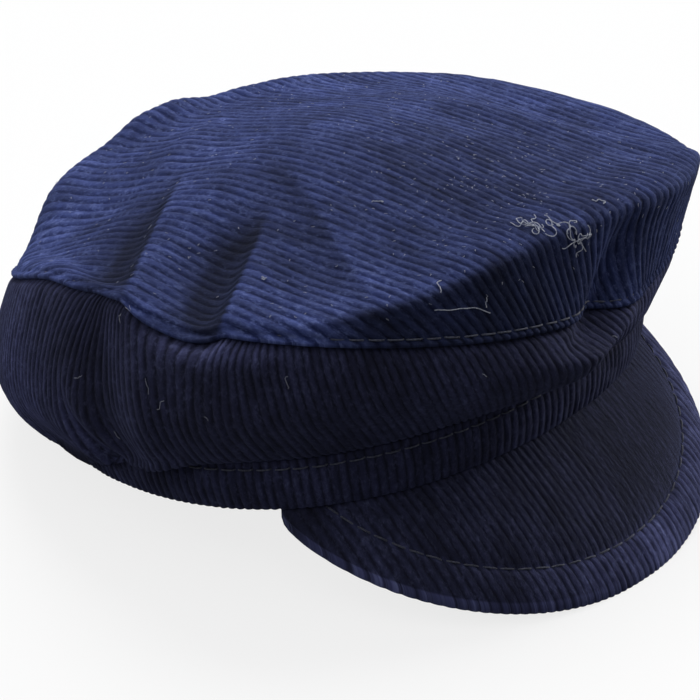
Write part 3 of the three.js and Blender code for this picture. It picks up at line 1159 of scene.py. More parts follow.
class PileGroup:
    """Shader node group for corduroy pile: colour, roughness and fine height."""

    NAME = "corduroy pile"
    SHADE_KEEPS = (0.11, 0.11, 0.11)  # what the deepest painted shade keeps of the colour

    FIBRES = PileNoise(1.25, 0.62, 5.0, 0.75)
    TUFTS = PileNoise(0.50, 0.24, 3.0, 0.6)
    STREAKS = PileNoise(0.40, 0.085, 2.0, 0.5)
    CLOUDS = PileNoise(0.048, 0.038, 4.0, 0.6)

    FIBRE_HEIGHT = 2.1
    TUFT_HEIGHT = 1.1
    LIT = Span(-0.05, 1.05)
    RUBBED_PLACES = Span(0.47, 0.68)
    RUBBED_HEIGHT = Span(0.6, 1.3)
    RUBBED_SHARE = 0.55
    PALE_TUFTS = Span(0.42, 0.62)
    PALE_FIBRES = Span(0.48, 0.66, 0.0, 1.6)
    STREAK_SHADE = Span(0.3, 0.7, 0.72, 1.28)
    CLOUD_SHADE = Span(0.32, 0.68, 0.62, 1.34)
    ROUGHNESS = Span(0.3, 0.7, 0.82, 1.0)
    TUFT_BUMP = 1.2

    @classmethod
    def build(cls) -> NodeTree:
        """Make the group once.

        Returns:
            The group.
        """
        tree = bpy.data.node_groups.new(cls.NAME, "ShaderNodeTree")
        cls._sockets(tree)
        start = tree.nodes.new("NodeGroupInput")
        end = tree.nodes.new("NodeGroupOutput")

        def noise(kind: PileNoise) -> Socket:
            """Stretch a noise differently across and along the ribs.

            Args:
                kind: The noise.

            Returns:
                Its value.
            """
            scale = {0: start.outputs["Cloth"], 1: (kind.across, kind.along, 1.0)}
            place = put(tree, "VectorMath", scale, operation="MULTIPLY").outputs[0]
            values = {"Vector": place, "Scale": 1.0, "Detail": kind.detail, "Roughness": kind.rough}
            return put(tree, "TexNoise", values).outputs["Fac"]

        def ranged(value: Socket, span: Span) -> Socket:
            """A value taken from one range to another."""
            ends = zip(("From Min", "From Max", "To Min", "To Max"), astuple(span))
            return put(tree, "MapRange", {"Value": value, **dict(ends)}).outputs["Result"]

        def maths(operation: str, first: Socket | float, second: Socket | float) -> Socket:
            """One sum of two values or sockets."""
            return put(tree, "Math", {0: first, 1: second}, operation=operation).outputs[0]

        def mixed(share: Socket, first: Socket, second: Socket | tuple, blend: str = "MIX") -> Socket:
            """Two colours mixed."""
            colours = {"Factor": share, "A": first, "B": second}
            return put(tree, "Mix", colours, data_type="RGBA", blend_type=blend).outputs["Result"]

        fibres = noise(cls.FIBRES)
        tufts = noise(cls.TUFTS)
        streaks = noise(cls.STREAKS)
        clouds = noise(cls.CLOUDS)
        ridge = maths("ADD", maths("MULTIPLY", start.outputs["Ridge"], 0.5), 0.5)
        loose = maths("MULTIPLY", maths("SUBTRACT", fibres, 0.5), cls.FIBRE_HEIGHT)
        tufted = maths("MULTIPLY", maths("SUBTRACT", tufts, 0.5), cls.TUFT_HEIGHT)
        height = maths("ADD", ridge, maths("ADD", loose, tufted))
        # Groove to ridge colour by height on the rib: partly the pile's own colour, partly painted shade in
        # the grooves and painted light on the rib tops.
        lit = ranged(height, cls.LIT)
        base = mixed(lit, start.outputs["Groove Colour"], start.outputs["Ridge Colour"])
        rubbed = maths("MULTIPLY", ranged(clouds, cls.RUBBED_PLACES), ranged(height, cls.RUBBED_HEIGHT))
        ends = maths("MULTIPLY", ranged(tufts, cls.PALE_TUFTS), ranged(fibres, cls.PALE_FIBRES))
        pale = maths("ADD", maths("MULTIPLY", rubbed, cls.RUBBED_SHARE), ends)
        worn = maths("MULTIPLY", pale, start.outputs["Wear"])
        colour = mixed(worn, base, start.outputs["Worn Colour"])
        tone_shift = ranged(streaks, cls.STREAK_SHADE)
        shade = maths("MULTIPLY", tone_shift, ranged(clouds, cls.CLOUD_SHADE))
        # Painted shade: the colour darkened as far as the Shade attribute says.
        deep = mixed(start.outputs["Shade"], colour, (*cls.SHADE_KEEPS, 1.0), "MULTIPLY")
        outputs = {
            "Colour": put(tree, "VectorMath", {0: deep, "Scale": shade}, operation="SCALE").outputs[0],
            "Roughness": ranged(fibres, cls.ROUGHNESS),
            "Height": maths("ADD", fibres, maths("MULTIPLY", tufts, cls.TUFT_BUMP)),
        }
        feed(tree, end, outputs)
        return tree

    @staticmethod
    def _sockets(tree: NodeTree) -> None:
        """Name the group's inputs and outputs.

        Args:
            tree: The group.
        """
        for name, way, kind in (
            ("Cloth", "INPUT", "Vector"),
            ("Ridge", "INPUT", "Float"),
            ("Shade", "INPUT", "Float"),
            ("Wear", "INPUT", "Float"),
            ("Groove Colour", "INPUT", "Color"),
            ("Ridge Colour", "INPUT", "Color"),
            ("Worn Colour", "INPUT", "Color"),
            ("Colour", "OUTPUT", "Color"),
            ("Roughness", "OUTPUT", "Float"),
            ("Height", "OUTPUT", "Float"),
        ):
            tree.interface.new_socket(name, in_out=way, socket_type="NodeSocket" + kind)


@dataclass(frozen=True)
class CorduroyFinish:
    """Blue corduroy with a short soft pile."""

    name: str
    colours: PileColours
    wear: float = 0.5
    sheen: float = 0.15
    sheen_roughness: float = 0.45
    specular: float = 0.18
    bump: float = 0.9
    bump_depth: float = 0.4

    def build(self, pile: NodeTree) -> bpy.types.Material:
        """Make the material.

        Args:
            pile: The group for corduroy pile.

        Returns:
            The material.
        """
        material = bpy.data.materials.new(self.name)
        material.use_nodes = True
        tree = material.node_tree
        group_inputs = {
            "Cloth": put(tree, "Attribute", {}, attribute_name="cloth").outputs["Vector"],
            "Ridge": put(tree, "Attribute", {}, attribute_name="ridge").outputs["Fac"],
            "Shade": put(tree, "Attribute", {}, attribute_name="shade").outputs["Fac"],
            "Wear": self.wear,
            "Groove Colour": (*self.colours.groove, 1.0),
            "Ridge Colour": (*self.colours.ridge, 1.0),
            "Worn Colour": (*self.colours.worn, 1.0),
        }
        cloth = put(tree, "Group", group_inputs, node_tree=pile).outputs
        depth = self.bump_depth * MM
        bump = put(tree, "Bump", {"Strength": self.bump, "Distance": depth, "Height": cloth["Height"]})
        shader_inputs = {
            "Base Color": cloth["Colour"],
            "Roughness": cloth["Roughness"],
            "Normal": bump.outputs["Normal"],
            "Specular IOR Level": self.specular,
            "Sheen Weight": self.sheen,
            "Sheen Roughness": self.sheen_roughness,
            "Sheen Tint": (*self.colours.sheen, 1.0),
        }
        feed(tree, tree.nodes["Principled BSDF"], shader_inputs)
        return material


@dataclass(frozen=True)
class ThreadFinish:
    """Spun thread, slightly lighter along its fibres."""

    name: str
    dark: Triple
    light: Triple
    sheen: float = 0.3
    specular: float = 0.3
    roughness: float = 0.7
    fibre_scale: float = 2200.0
    fibre_detail: float = 3.0
    dark_until: float = 0.35
    light_from: float = 0.68

    def build(self) -> bpy.types.Material:
        """Make the material.

        Returns:
            The material.
        """
        material = bpy.data.materials.new(self.name)
        material.use_nodes = True
        tree = material.node_tree
        place = put(tree, "TexCoord", {}).outputs["Object"]
        noise_inputs = {"Vector": place, "Scale": self.fibre_scale, "Detail": self.fibre_detail}
        noise = put(tree, "TexNoise", noise_inputs).outputs["Fac"]
        ramp = put(tree, "ValToRGB", {"Fac": noise})
        dark, light = ramp.color_ramp.elements
        dark.position, dark.color = self.dark_until, (*self.dark, 1.0)
        light.position, light.color = self.light_from, (*self.light, 1.0)
        shader_inputs = {
            "Base Color": ramp.outputs["Color"],
            "Roughness": self.roughness,
            "Specular IOR Level": self.specular,
            "Sheen Weight": self.sheen,
        }
        feed(tree, tree.nodes["Principled BSDF"], shader_inputs)
        return material


SEWING_THREAD = ThreadFinish("topstitch thread", (0.020, 0.024, 0.05), (0.075, 0.082, 0.12))
PALE_LINT = ThreadFinish("pale lint", (0.18, 0.20, 0.28), (0.44, 0.46, 0.54))


class Slot(Enum):
    """The record's material slots."""

    TOP = "top_corduroy"
    BAND = "band_corduroy"
    HEADBAND = "headband_corduroy"
    PEAK = "peak_corduroy"


@dataclass
class Workshop:
    """What every sub-assembly works with: the shape, its offset into the frame, and the noise."""

    shape: CapShape
    offset: Array
    noise: SoftNoise


def dress(piece: Object, material: bpy.types.Material) -> None:
    """Give a piece its finish and its body.

    Args:
        piece: The piece.
        material: Its finish.
    """
    piece.data.materials.append(material)
    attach(piece, "root")


# ---------------------- sub-assemblies


@dataclass
class TopPanel:
    """The one-piece top, its ribs running from front to back, turned under at the seam."""

    shop: Workshop
    ribs: Ribs = Ribs(pitch=2.95, half_depth=0.22)
    roll: EdgeRoll = EdgeRoll()
    rows: int = 158
    edge_rows: int = 9
    edge_width: float = 6.0
    seam_lift: float = 0.55
    seam_width: float = 1.8
    stitch_inset: float = 2.0
    stitch_dip: float = 0.4
    stitch_width: float = 0.7
    buried: tuple[Pair, ...] = ((-135.0, -42.0), (11.0, 80.0))
    bury_depth: float = 0.75
    bury_fade: float = 12.0
    crease_place: float = 4.04
    crease_fade: float = 0.2
    # painted shade on the front face under the crease
    face_shade: float = 0.73
    face_from: float = -47.0
    face_from_fade: float = 14.0
    face_to: float = 14.0
    face_to_fade: float = 26.0
    # most painted shade beside the pleats, then a broad patch of painted shade toward the front right
    pleat_shade_most: float = 0.92
    painted_shade_at: Pair = (15.0, -43.0)
    painted_shade_width: float = 72.0
    painted_shade_depth: float = 0.56
    grain_turn: float = 4.0
    side_pull: float = 0.13
    pull_from: float = 10.0
    pull_fade: float = 95.0
    wrinkle: float = 0.3
    wrinkle_fade: float = 12.0
    inner_steps: int = 96
    inner_rows: int = 14
    inner_middle: float = 0.06

    EDGE_STEP = 0.25  # degrees between the points that the panel's outline is measured at
    END_GAP = 0.25  # room left at the outline's two ends
    FAR = 200.0  # surely outside the panel
    HALVINGS = 40
    SETTLINGS = 30
    SETTLE_SHARE = 0.7
    OUTWARD_STEP = 0.012  # share of the way to the seam
    EDGE_ABOVE = 0.03  # how far over the seam's place up the profile the edge lies
    WAVE_SIZES = (21.0, 11.0)
    WAVE_SHIFTS = (0.0, 55.0)

    def __post_init__(self) -> None:
        """Measure the panel."""
        edge = CapShape.SEAM_PLACE + self.EDGE_ABOVE
        self.arc = ArcTable(self.shop.shape, CapShape.CENTRE_PLACE, edge)

    def _across(self, u: Array, v: Array) -> Array:
        """Where a rib that crosses the middle line at u lies at v."""
        pull = self.side_pull * smooth((self.pull_from - u) / self.pull_fade)
        return u - v * (math.tan(math.radians(self.grain_turn)) + pull)

    def _rib_at(self, x: Array, v: Array) -> Array:
        """Find the ribs that pass through places.

        Args:
            x: Sideways.
            v: Along the ribs.

        Returns:
            Where each rib crosses the middle line.
        """
        u = np.array(x, float)
        for _ in range(self.SETTLINGS):
            u = u + self.SETTLE_SHARE * (x - self._across(u, v))
        return u

    def _inside(self, u: Array, v: Array) -> Array:
        """Measure how far inside the panel places lie.

        Args:
            u: Across the ribs.
            v: Along the ribs.

        Returns:
            Distance to the edge, below 0 outside it.
        """
        x = self._across(u, v)
        around = np.degrees(np.arctan2(x, -v))
        return self.arc.length(around) - self.roll.radius - np.hypot(x, v)

    def _edge(self, u: Array, within: Array, beyond: float) -> Array:
        """Find where each rib meets the edge of the panel.

        Args:
            u: Across the ribs.
            within: A place on each rib inside the panel.
            beyond: A place outside it.

        Returns:
            Place of the edge along each rib.
        """
        low = np.array(within, float)
        high = np.full_like(low, beyond)
        for _ in range(self.HALVINGS):
            middle = (low + high) / 2.0
            inside = self._inside(u, middle) > 0.0
            low = np.where(inside, middle, low)
            high = np.where(inside, high, middle)
        return low

    def _grid(self) -> tuple[Array, Array, Array]:
        """Flat positions of the grid's points.

        Returns:
            Position across, position along, and the height on the rib of each column.
        """
        turn = np.arange(0.0, FULL_TURN, self.EDGE_STEP)
        reach = self.arc.length(turn) - self.roll.radius
        y = -reach * np.cos(np.radians(turn))
        rib = self._rib_at(reach * np.sin(np.radians(turn)), y)
        left, right = int(np.argmin(rib)), int(np.argmax(rib))
        pitch = self.ribs.pitch
        first, last = math.floor(rib[left] / pitch) - 1, math.ceil(rib[right] / pitch) + 1
        place, ridge = self.ribs.columns(first, last)
        across = place * pitch
        keep = (across > rib[left] + self.END_GAP) & (across < rib[right] - self.END_GAP)
        across, ridge = across[keep], ridge[keep]
        middle = np.interp(across, [rib[left], rib[right]], [y[left], y[right]])
        front = self._edge(across, middle, -self.FAR)
        back = self._edge(across, middle, self.FAR)
        share = spaced_rows(back - front, self.rows, self.edge_rows, self.edge_width)
        v = front[:, None] + (back - front)[:, None] * share
        u = np.broadcast_to(across[:, None], v.shape).copy()
        for column in (0, -1):
            around = np.degrees(np.arctan2(self._across(u[column], v[column]), -v[column]))
            reach = self.arc.length(around) - self.roll.radius
            v[column] = -reach * np.cos(np.radians(around))
            u[column] = self._rib_at(reach * np.sin(np.radians(around)), v[column])
        return u, v, ridge

    def surface(self, u: Array, v: Array) -> tuple[Array, Array, Array]:
        """Cloth surface at flat positions.

        Args:
            u: Across the ribs.
            v: Along the ribs, toward the back.

        Returns:
            Positions, angles around and distances from the seam.
        """
        x = self._across(u, v)
        around = np.degrees(np.arctan2(x, -v))
        reach = self.arc.length(around)
        share = np.hypot(x, v) / reach
        points = self.shop.shape.crown_point(around, self.arc.place(around, share))
        return points, around, reach - np.hypot(x, v)

    def lift(self, points: Array, inset: Array) -> Array:
        """Raise the cloth from its plain surface.

        Args:
            points: Positions on the plain surface.
            inset: Their distances from the seam.

        Returns:
            How far the cloth stands out.
        """
        seam = self.seam_lift * hump(inset, self.seam_width)
        seam = seam - self.stitch_dip * hump(inset - self.stitch_inset, self.stitch_width)
        wavy = waves(self.shop.noise, points, self.WAVE_SIZES, self.WAVE_SHIFTS)
        return seam + self.wrinkle * wavy * smooth(inset / self.wrinkle_fade)

    def shade(self, points: Array, around: Array, inset: Array) -> Array:
        """Painted shade: deep on the front face under the crease, on the steep sides of the pleats and over
        a broad patch toward the front right.

        Args:
            points: Positions on the plain surface.
            around: Their angles.
            inset: Their distances from the seam.

        Returns:
            0 for none up to 1.
        """
        place = self.arc.place(around, 1.0 - inset / self.arc.length(around))
        turned = wrapped(around)
        window = smooth((turned - self.face_from) / self.face_from_fade)
        window = window * smooth((self.face_to - turned) / self.face_to_fade)
        # Painted shade on the front face, which faces away from the light.
        front = smooth((self.crease_place - place) / self.crease_fade + 0.5) * window
        x, y = points[..., 0], points[..., 1]
        # Painted shade on the steep sides of the pleats.
        pleats = [fold for fold in PANEL_FOLDS.values() if isinstance(fold, Pleat)]
        painted_shade = np.minimum(sum(pleat.shade_at(points[..., :2]) for pleat in pleats), self.pleat_shade_most)
        # A broad patch of painted shade toward the front right.
        away = np.hypot(x - self.painted_shade_at[0], y - self.painted_shade_at[1])
        tone_shift = self.painted_shade_depth * hump(away, self.painted_shade_width)
        return 1.0 - (1.0 - self.face_shade * front) * (1.0 - painted_shade) * (1.0 - tone_shift)

    def _outward(self, around: Array, share: Array) -> Array:
        """Find the direction toward the seam.

        Args:
            around: Angles in degrees.
            share: Share of the way to the seam.

        Returns:
            Unit directions along the cloth.
        """
        shape = self.shop.shape
        near = shape.crown_point(around, self.arc.place(around, share - self.OUTWARD_STEP))
        far = shape.crown_point(around, self.arc.place(around, share))
        return unit(far - near)

    def build(self) -> Object:
        """Make the panel.

        Returns:
            The piece.
        """
        mesh = ClothMesh()
        u, v, ridge = self._grid()
        base, around, inset = self.surface(u, v)
        normals = grid_normals(base, closed=False)
        normals *= np.sign(normals[:, self.rows // 2, 2:3])[:, None]
        cloth = np.stack([u, v], axis=-1)
        height = np.broadcast_to(ridge[:, None], u.shape)
        rise = self.lift(base, inset) + self.ribs.rise(height, cloth, self.shop.noise)
        outer = base + normals * rise[..., None]
        shade = self.shade(base, around, inset)
        index = mesh.add_points(outer, height, cloth, shade)
        mesh.add_quads(index)

        def ring(grid: Array) -> Array:
            """The grid's border as one closed loop, in the order of rising angle."""
            return np.concatenate([grid[:-1, 0], grid[-1, :-1], grid[:0:-1, -1], grid[0, :0:-1]])

        loop_around = np.degrees(np.unwrap(np.radians(ring(around))))
        share = 1.0 - ring(inset) / self.arc.length(loop_around)
        outward = self._outward(loop_around, share)
        normal = ring(normals)
        outward = unit(outward - normal * np.sum(outward * normal, axis=-1, keepdims=True))
        edge = EdgeLoop(ring(outer), normal, outward, ring(height), ring(cloth), ring(shade))
        last = self.roll.add(mesh, ring(index), edge, self.shop.shape.crown_wall)
        self._inner(mesh, last, loop_around)
        return mesh.to_object("top_panel_cloth", self.shop.offset)

    def _inner(self, mesh: ClothMesh, rim: Array, rim_around: Array) -> None:
        """Add the plain inner side and join it to the rim.

        Args:
            mesh: The piece under way.
            rim: Point numbers of the rolled edge.
            rim_around: Their angles.
        """
        shape = self.shop.shape
        turn = even_turn(self.inner_steps)
        share = np.linspace(1.0, self.inner_middle, self.inner_rows)
        around, part = np.meshgrid(turn, share, indexing="ij")
        place = self.arc.place(around, part)
        points = shape.crown_point(around, place) - shape.crown_normal(around, place) * shape.crown_wall
        flat = np.stack([points[..., 0], points[..., 1]], axis=-1)
        index = mesh.add_points(points, -1.0, flat)
        mesh.add_quads(index, closed=True)
        mesh.faces.append(tuple(index[:, -1].tolist()))
        mesh.zip_loops(rim, rim_around, index[:, 0], turn)

    def stitch_line(self) -> tuple[Array, Array]:
        """Lay out the topstitch above the seam, all the way round.

        Returns:
            Points and normals along it.
        """
        turn = np.linspace(-180.0, 180.0, STITCH_POINTS)
        reach = self.arc.length(turn)
        share = (reach - self.stitch_inset) / reach
        place = self.arc.place(turn, share)
        points = self.shop.shape.crown_point(turn, place)
        normals = self.shop.shape.crown_normal(turn, place)
        rise = self.lift(points, np.full_like(turn, self.stitch_inset))
        rise = rise + self.ribs.half_depth * STITCH_REST
        for first, last in self.buried:
            begun = smooth((turn - first) / self.bury_fade + 0.5)
            rise -= self.bury_depth * begun * smooth((last - turn) / self.bury_fade + 0.5)
        return points + normals * rise[:, None], normals


@dataclass(frozen=True)
class Lean:
    """How far a rib of the side band wanders sideways, in degrees around the cap."""

    around: float
    hem: float
    waist: float
    seam: float


BAND_LEANS = (
    Lean(-150, 0, 0, 0),
    Lean(-118, 0, 0, 0),
    Lean(-106, 2, -1, 3),
    Lean(-92, 2.5, -2, 6),
    Lean(-80, 1, -1.5, 2),
    Lean(-74, 0, -0.5, 0),
    Lean(-64, 1, -0.5, 3.5),
    Lean(-52, 3, 0, 0),
    Lean(-30, 4, 0, -3),
    Lean(-5, 4, 0, -3.5),
    Lean(12, 2, 0, -2),
    Lean(40, 0, 0, 0),
    Lean(120, 1, 0, 2),
)


@dataclass(frozen=True)
class PaintedHighlight:
    """A painted highlight on the side band, where the light catches it."""

    around: float
    place: float
    wide: float
    tall: float
    most: float

    def at(self, around: Array, place: Array) -> Array:
        """How strong the painted highlight is, from 0 away from here up to its most in the middle."""
        turned = wrapped(around - self.around)
        return self.most * np.exp(-((turned / self.wide) ** 2) - ((place - self.place) / self.tall) ** 2)


# Angle around and place up the profile, the half widths the same two ways, and how bright at most.
PAINTED_HIGHLIGHTS = (
    PaintedHighlight(-108, 2.0, 10, 0.8, 1.0),
    PaintedHighlight(-61, 2.85, 9, 0.16, 0.7),
    PaintedHighlight(-92, 1.6, 2.5, 0.5, 0.7),
    PaintedHighlight(-87, 0.9, 3.0, 0.4, 0.7),
    PaintedHighlight(24, 2.4, 13, 0.8, 0.9),
    PaintedHighlight(60, 2.2, 20, 1.0, 0.6),
)


@dataclass
class SideBand:
    """The band between the headband and the top panel, its ribs running up and down."""

    shop: Workshop
    ribs: Ribs = Ribs()
    roll: EdgeRoll = EdgeRoll()
    rows: int = 50
    edge_rows: int = 5
    edge_width: float = 3.0
    seam_tuck: float = 1.3
    seam_width: float = 1.8
    hem_tuck: float = 0.9
    hem_width: float = 1.5
    wrinkle: float = 0.45
    wrinkle_fade: float = 8.0
    # painted shade over the whole band, lifted at the painted highlights
    painted_shade: float = 0.655
    inner_steps: int = 96
    inner_rows: int = 9

    COUNTED_AT = 0.55  # share of the height at which the ribs have their true pitch
    INNER_CLOTH = (1.6, 30.0)  # millimetres for each degree around, and for the whole height
    EDGE_ABOVE = 0.06  # how far over the seam's place up the profile the edge lies
    WAVE_SIZES = (17.0, 9.0)
    WAVE_SHIFTS = (80.0, 120.0)

    def __post_init__(self) -> None:
        """Measure the band."""
        self.arc = ArcTable(self.shop.shape, 0.0, CapShape.SEAM_PLACE + self.EDGE_ABOVE)
        self.leans = RoundTable(BAND_LEANS)

    def _around(self, turn: Array, share: Array) -> Array:
        """Lean the ribs.

        Args:
            turn: Angle of each rib on the whole.
            share: Share of its height.

        Returns:
            Its angle there.
        """
        hem, waist, seam = np.moveaxis(self.leans.at(turn), -1, 0)
        return (
            turn
            + hem * (1.0 - share) * (1.0 - 2.0 * share)
            + waist * 4.0 * share * (1.0 - share)
            + seam * share * (2.0 * share - 1.0)
        )

    def shade(self, around: Array, share: Array) -> Array:
        """Painted shade: the same all over but for the painted highlights.

        Args:
            around: Angles in degrees.
            share: Share of the height.

        Returns:
            0 for none up to 1.
        """
        place = self.arc.place(around, share)
        highlighted = sum(spot.at(around, place) for spot in PAINTED_HIGHLIGHTS)
        return self.painted_shade * (1.0 - np.minimum(highlighted, 1.0))

    def build(self) -> Object:
        """Make the band.

        Returns:
            The piece.
        """
        shape = self.shop.shape
        mesh = ClothMesh()
        turn = np.linspace(-180.0, 180.0, TURN_POINTS)
        place = self.arc.place(turn, np.full_like(turn, self.COUNTED_AT))
        turn, distance, ridge = self.ribs.spaced(turn, shape.crown_point(turn, place))
        length = self.arc.length(turn)
        margin = self.roll.radius / length
        rows = spaced_rows(length, self.rows, self.edge_rows, self.edge_width)
        share = margin[:, None] + (1.0 - 2.0 * margin)[:, None] * rows
        around = self._around(np.broadcast_to(turn[:, None], share.shape), share)
        base = shape.crown_point(around, self.arc.place(around, share))
        normals = grid_normals(base, closed=True)
        cloth = np.stack([np.broadcast_to(distance[:, None], share.shape), share * length[:, None]], axis=-1)
        height = np.broadcast_to(ridge[:, None], share.shape)
        noise = self.shop.noise
        from_top = (1.0 - share) * length[:, None]
        from_hem = share * length[:, None]
        wavy = waves(noise, base, self.WAVE_SIZES, self.WAVE_SHIFTS)
        lift = self.wrinkle * wavy * smooth(from_top / self.wrinkle_fade)
        lift *= smooth(from_hem / self.wrinkle_fade)
        tuck = self.seam_tuck * hump(from_top, self.seam_width)
        lift -= tuck + self.hem_tuck * hump(from_hem, self.hem_width)
        outer = base + normals * (lift + self.ribs.rise(height, cloth, noise))[..., None]
        shade = self.shade(around, share)
        index = mesh.add_points(outer, height, cloth, shade)
        mesh.add_quads(index, closed=True)
        inner = self._inner(mesh)
        inner_turn = even_turn(self.inner_steps)
        for row, beside in ((0, 1), (-1, -2)):
            outward = unit(base[:, row] - base[:, beside])
            edge = EdgeLoop(outer[:, row], normals[:, row], outward, ridge, cloth[:, row], shade[:, row])
            last = self.roll.add(mesh, index[:, row], edge, shape.crown_wall)
            mesh.zip_loops(last, around[:, row], inner[:, row], inner_turn)
        return mesh.to_object("side_band_cloth", self.shop.offset)

    def _inner(self, mesh: ClothMesh) -> Array:
        """Add the plain inner side.

        Args:
            mesh: The piece under way.

        Returns:
            Its point numbers, columns by rows.
        """
        shape = self.shop.shape
        share = np.linspace(0.0, 1.0, self.inner_rows)
        around, share = np.meshgrid(even_turn(self.inner_steps), share, indexing="ij")
        place = self.arc.place(around, share)
        points = shape.crown_point(around, place) - shape.crown_normal(around, place) * shape.crown_wall
        cloth = np.stack([around * self.INNER_CLOTH[0], share * self.INNER_CLOTH[1]], axis=-1)
        index = mesh.add_points(points, -1.0, cloth)
        mesh.add_quads(index, closed=True)
        return index


@dataclass
class Headband:
    """The narrow strip around the head opening."""

    shop: Workshop
    ribs: Ribs = Ribs()
    roll: EdgeRoll = EdgeRoll(radius=0.8)
    rows: int = 20
    swell: float = 1.0
    overlap: float = 1.0
    stitch_below_top: float = 2.4
    stitch_dip: float = 0.35
    stitch_width: float = 0.8
    wrinkle: float = 0.25
    inner_steps: int = 96
    inner_rows: int = 5

    COUNTED_AT = 6.0  # height at which the ribs have their true pitch
    INNER_MARGIN = 0.4
    NUDGE = 1e-6  # added to a direction, so that it is never zero
    WAVE_SIZE = 14.0
    WAVE_SHIFT = 30.0
    INNER_CLOTH = 1.4  # millimetres for each degree around

    def build(self) -> Object:
        """Make the headband.

        Returns:
            The piece.
        """
        shape = self.shop.shape
        mesh = ClothMesh()
        turn = np.linspace(-180.0, 180.0, TURN_POINTS)
        line = shape.headband_point(turn, np.full_like(turn, self.COUNTED_AT))
        angle, distance, ridge = self.ribs.spaced(turn, line)
        top = shape.headband_height + self.overlap
        up = np.linspace(self.roll.radius, top - self.roll.radius, self.rows)
        around, level = np.meshgrid(angle, up, indexing="ij")
        base = shape.headband_point(around, level)
        normals = grid_normals(base, closed=True)
        base[..., 2] = np.maximum(base[..., 2], 0.0)
        cloth = np.stack([np.broadcast_to(distance[:, None], level.shape), level], axis=-1)
        height = np.broadcast_to(ridge[:, None], level.shape)
        rise = self.ribs.rise(height, cloth, self.shop.noise) + self.lift(base, level)
        outer = base + normals * rise[..., None]
        index = mesh.add_points(outer, height, cloth)
        mesh.add_quads(index, closed=True)
        inner_turn = even_turn(self.inner_steps)
        inner_up = np.linspace(self.INNER_MARGIN, top - self.INNER_MARGIN, self.inner_rows)
        inner_around, inner_up = np.meshgrid(inner_turn, inner_up, indexing="ij")
        flare = shape.headband_flare * inner_up / shape.headband_height
        inner = shape.ring_point(inner_around, flare - shape.headband_wall, inner_up)
        inner[..., 2] = np.maximum(inner[..., 2], 0.0)
        flat = np.stack([inner_around * self.INNER_CLOTH, inner_up], axis=-1)
        inner_index = mesh.add_points(inner, -1.0, flat)
        mesh.add_quads(inner_index, closed=True)
        for row, beside in ((0, 1), (-1, -2)):
            outward = unit(base[:, row] - base[:, beside] + self.NUDGE)
            edge = EdgeLoop(outer[:, row], normals[:, row], outward, ridge, cloth[:, row])
            last = self.roll.add(mesh, index[:, row], edge, shape.headband_wall)
            mesh.zip_loops(last, angle, inner_index[:, row], inner_turn)
        return mesh.to_object("headband_cloth", self.shop.offset)

    def lift(self, points: Array, up: Array) -> Array:
        """Raise the strip from its plain face.

        Args:
            points: Positions on the plain face.
            up: Their heights above the plane of the opening.

        Returns:
            How far the strip stands out.
        """
        shape = self.shop.shape
        top = shape.headband_height + self.overlap
        puff = self.swell * np.sin(math.pi * np.clip(up / top, 0.0, 1.0))
        dip = self.stitch_dip * hump(up - (top - self.stitch_below_top), self.stitch_width)
        wavy = self.shop.noise.at(points + self.WAVE_SHIFT, self.WAVE_SIZE)
        return puff - dip + self.wrinkle * wavy

    def stitch_line(self) -> tuple[Array, Array]:
        """Lay out the topstitch under the upper edge.

        Returns:
            Points and normals along it.
        """
        shape = self.shop.shape
        turn = np.linspace(-180.0, 180.0, STITCH_POINTS)
        up = np.full_like(turn, shape.headband_height + self.overlap - self.stitch_below_top)
        points = shape.headband_point(turn, up)
        side = shape.headband_point(turn + 1.0, up) - shape.headband_point(turn - 1.0, up)
        rise = shape.headband_point(turn, up + 1.0) - shape.headband_point(turn, up - 1.0)
        normals = unit(np.cross(side, rise))
        lift = self.lift(points, up) + self.ribs.half_depth * STITCH_REST
        return points + normals * lift[:, None], normals


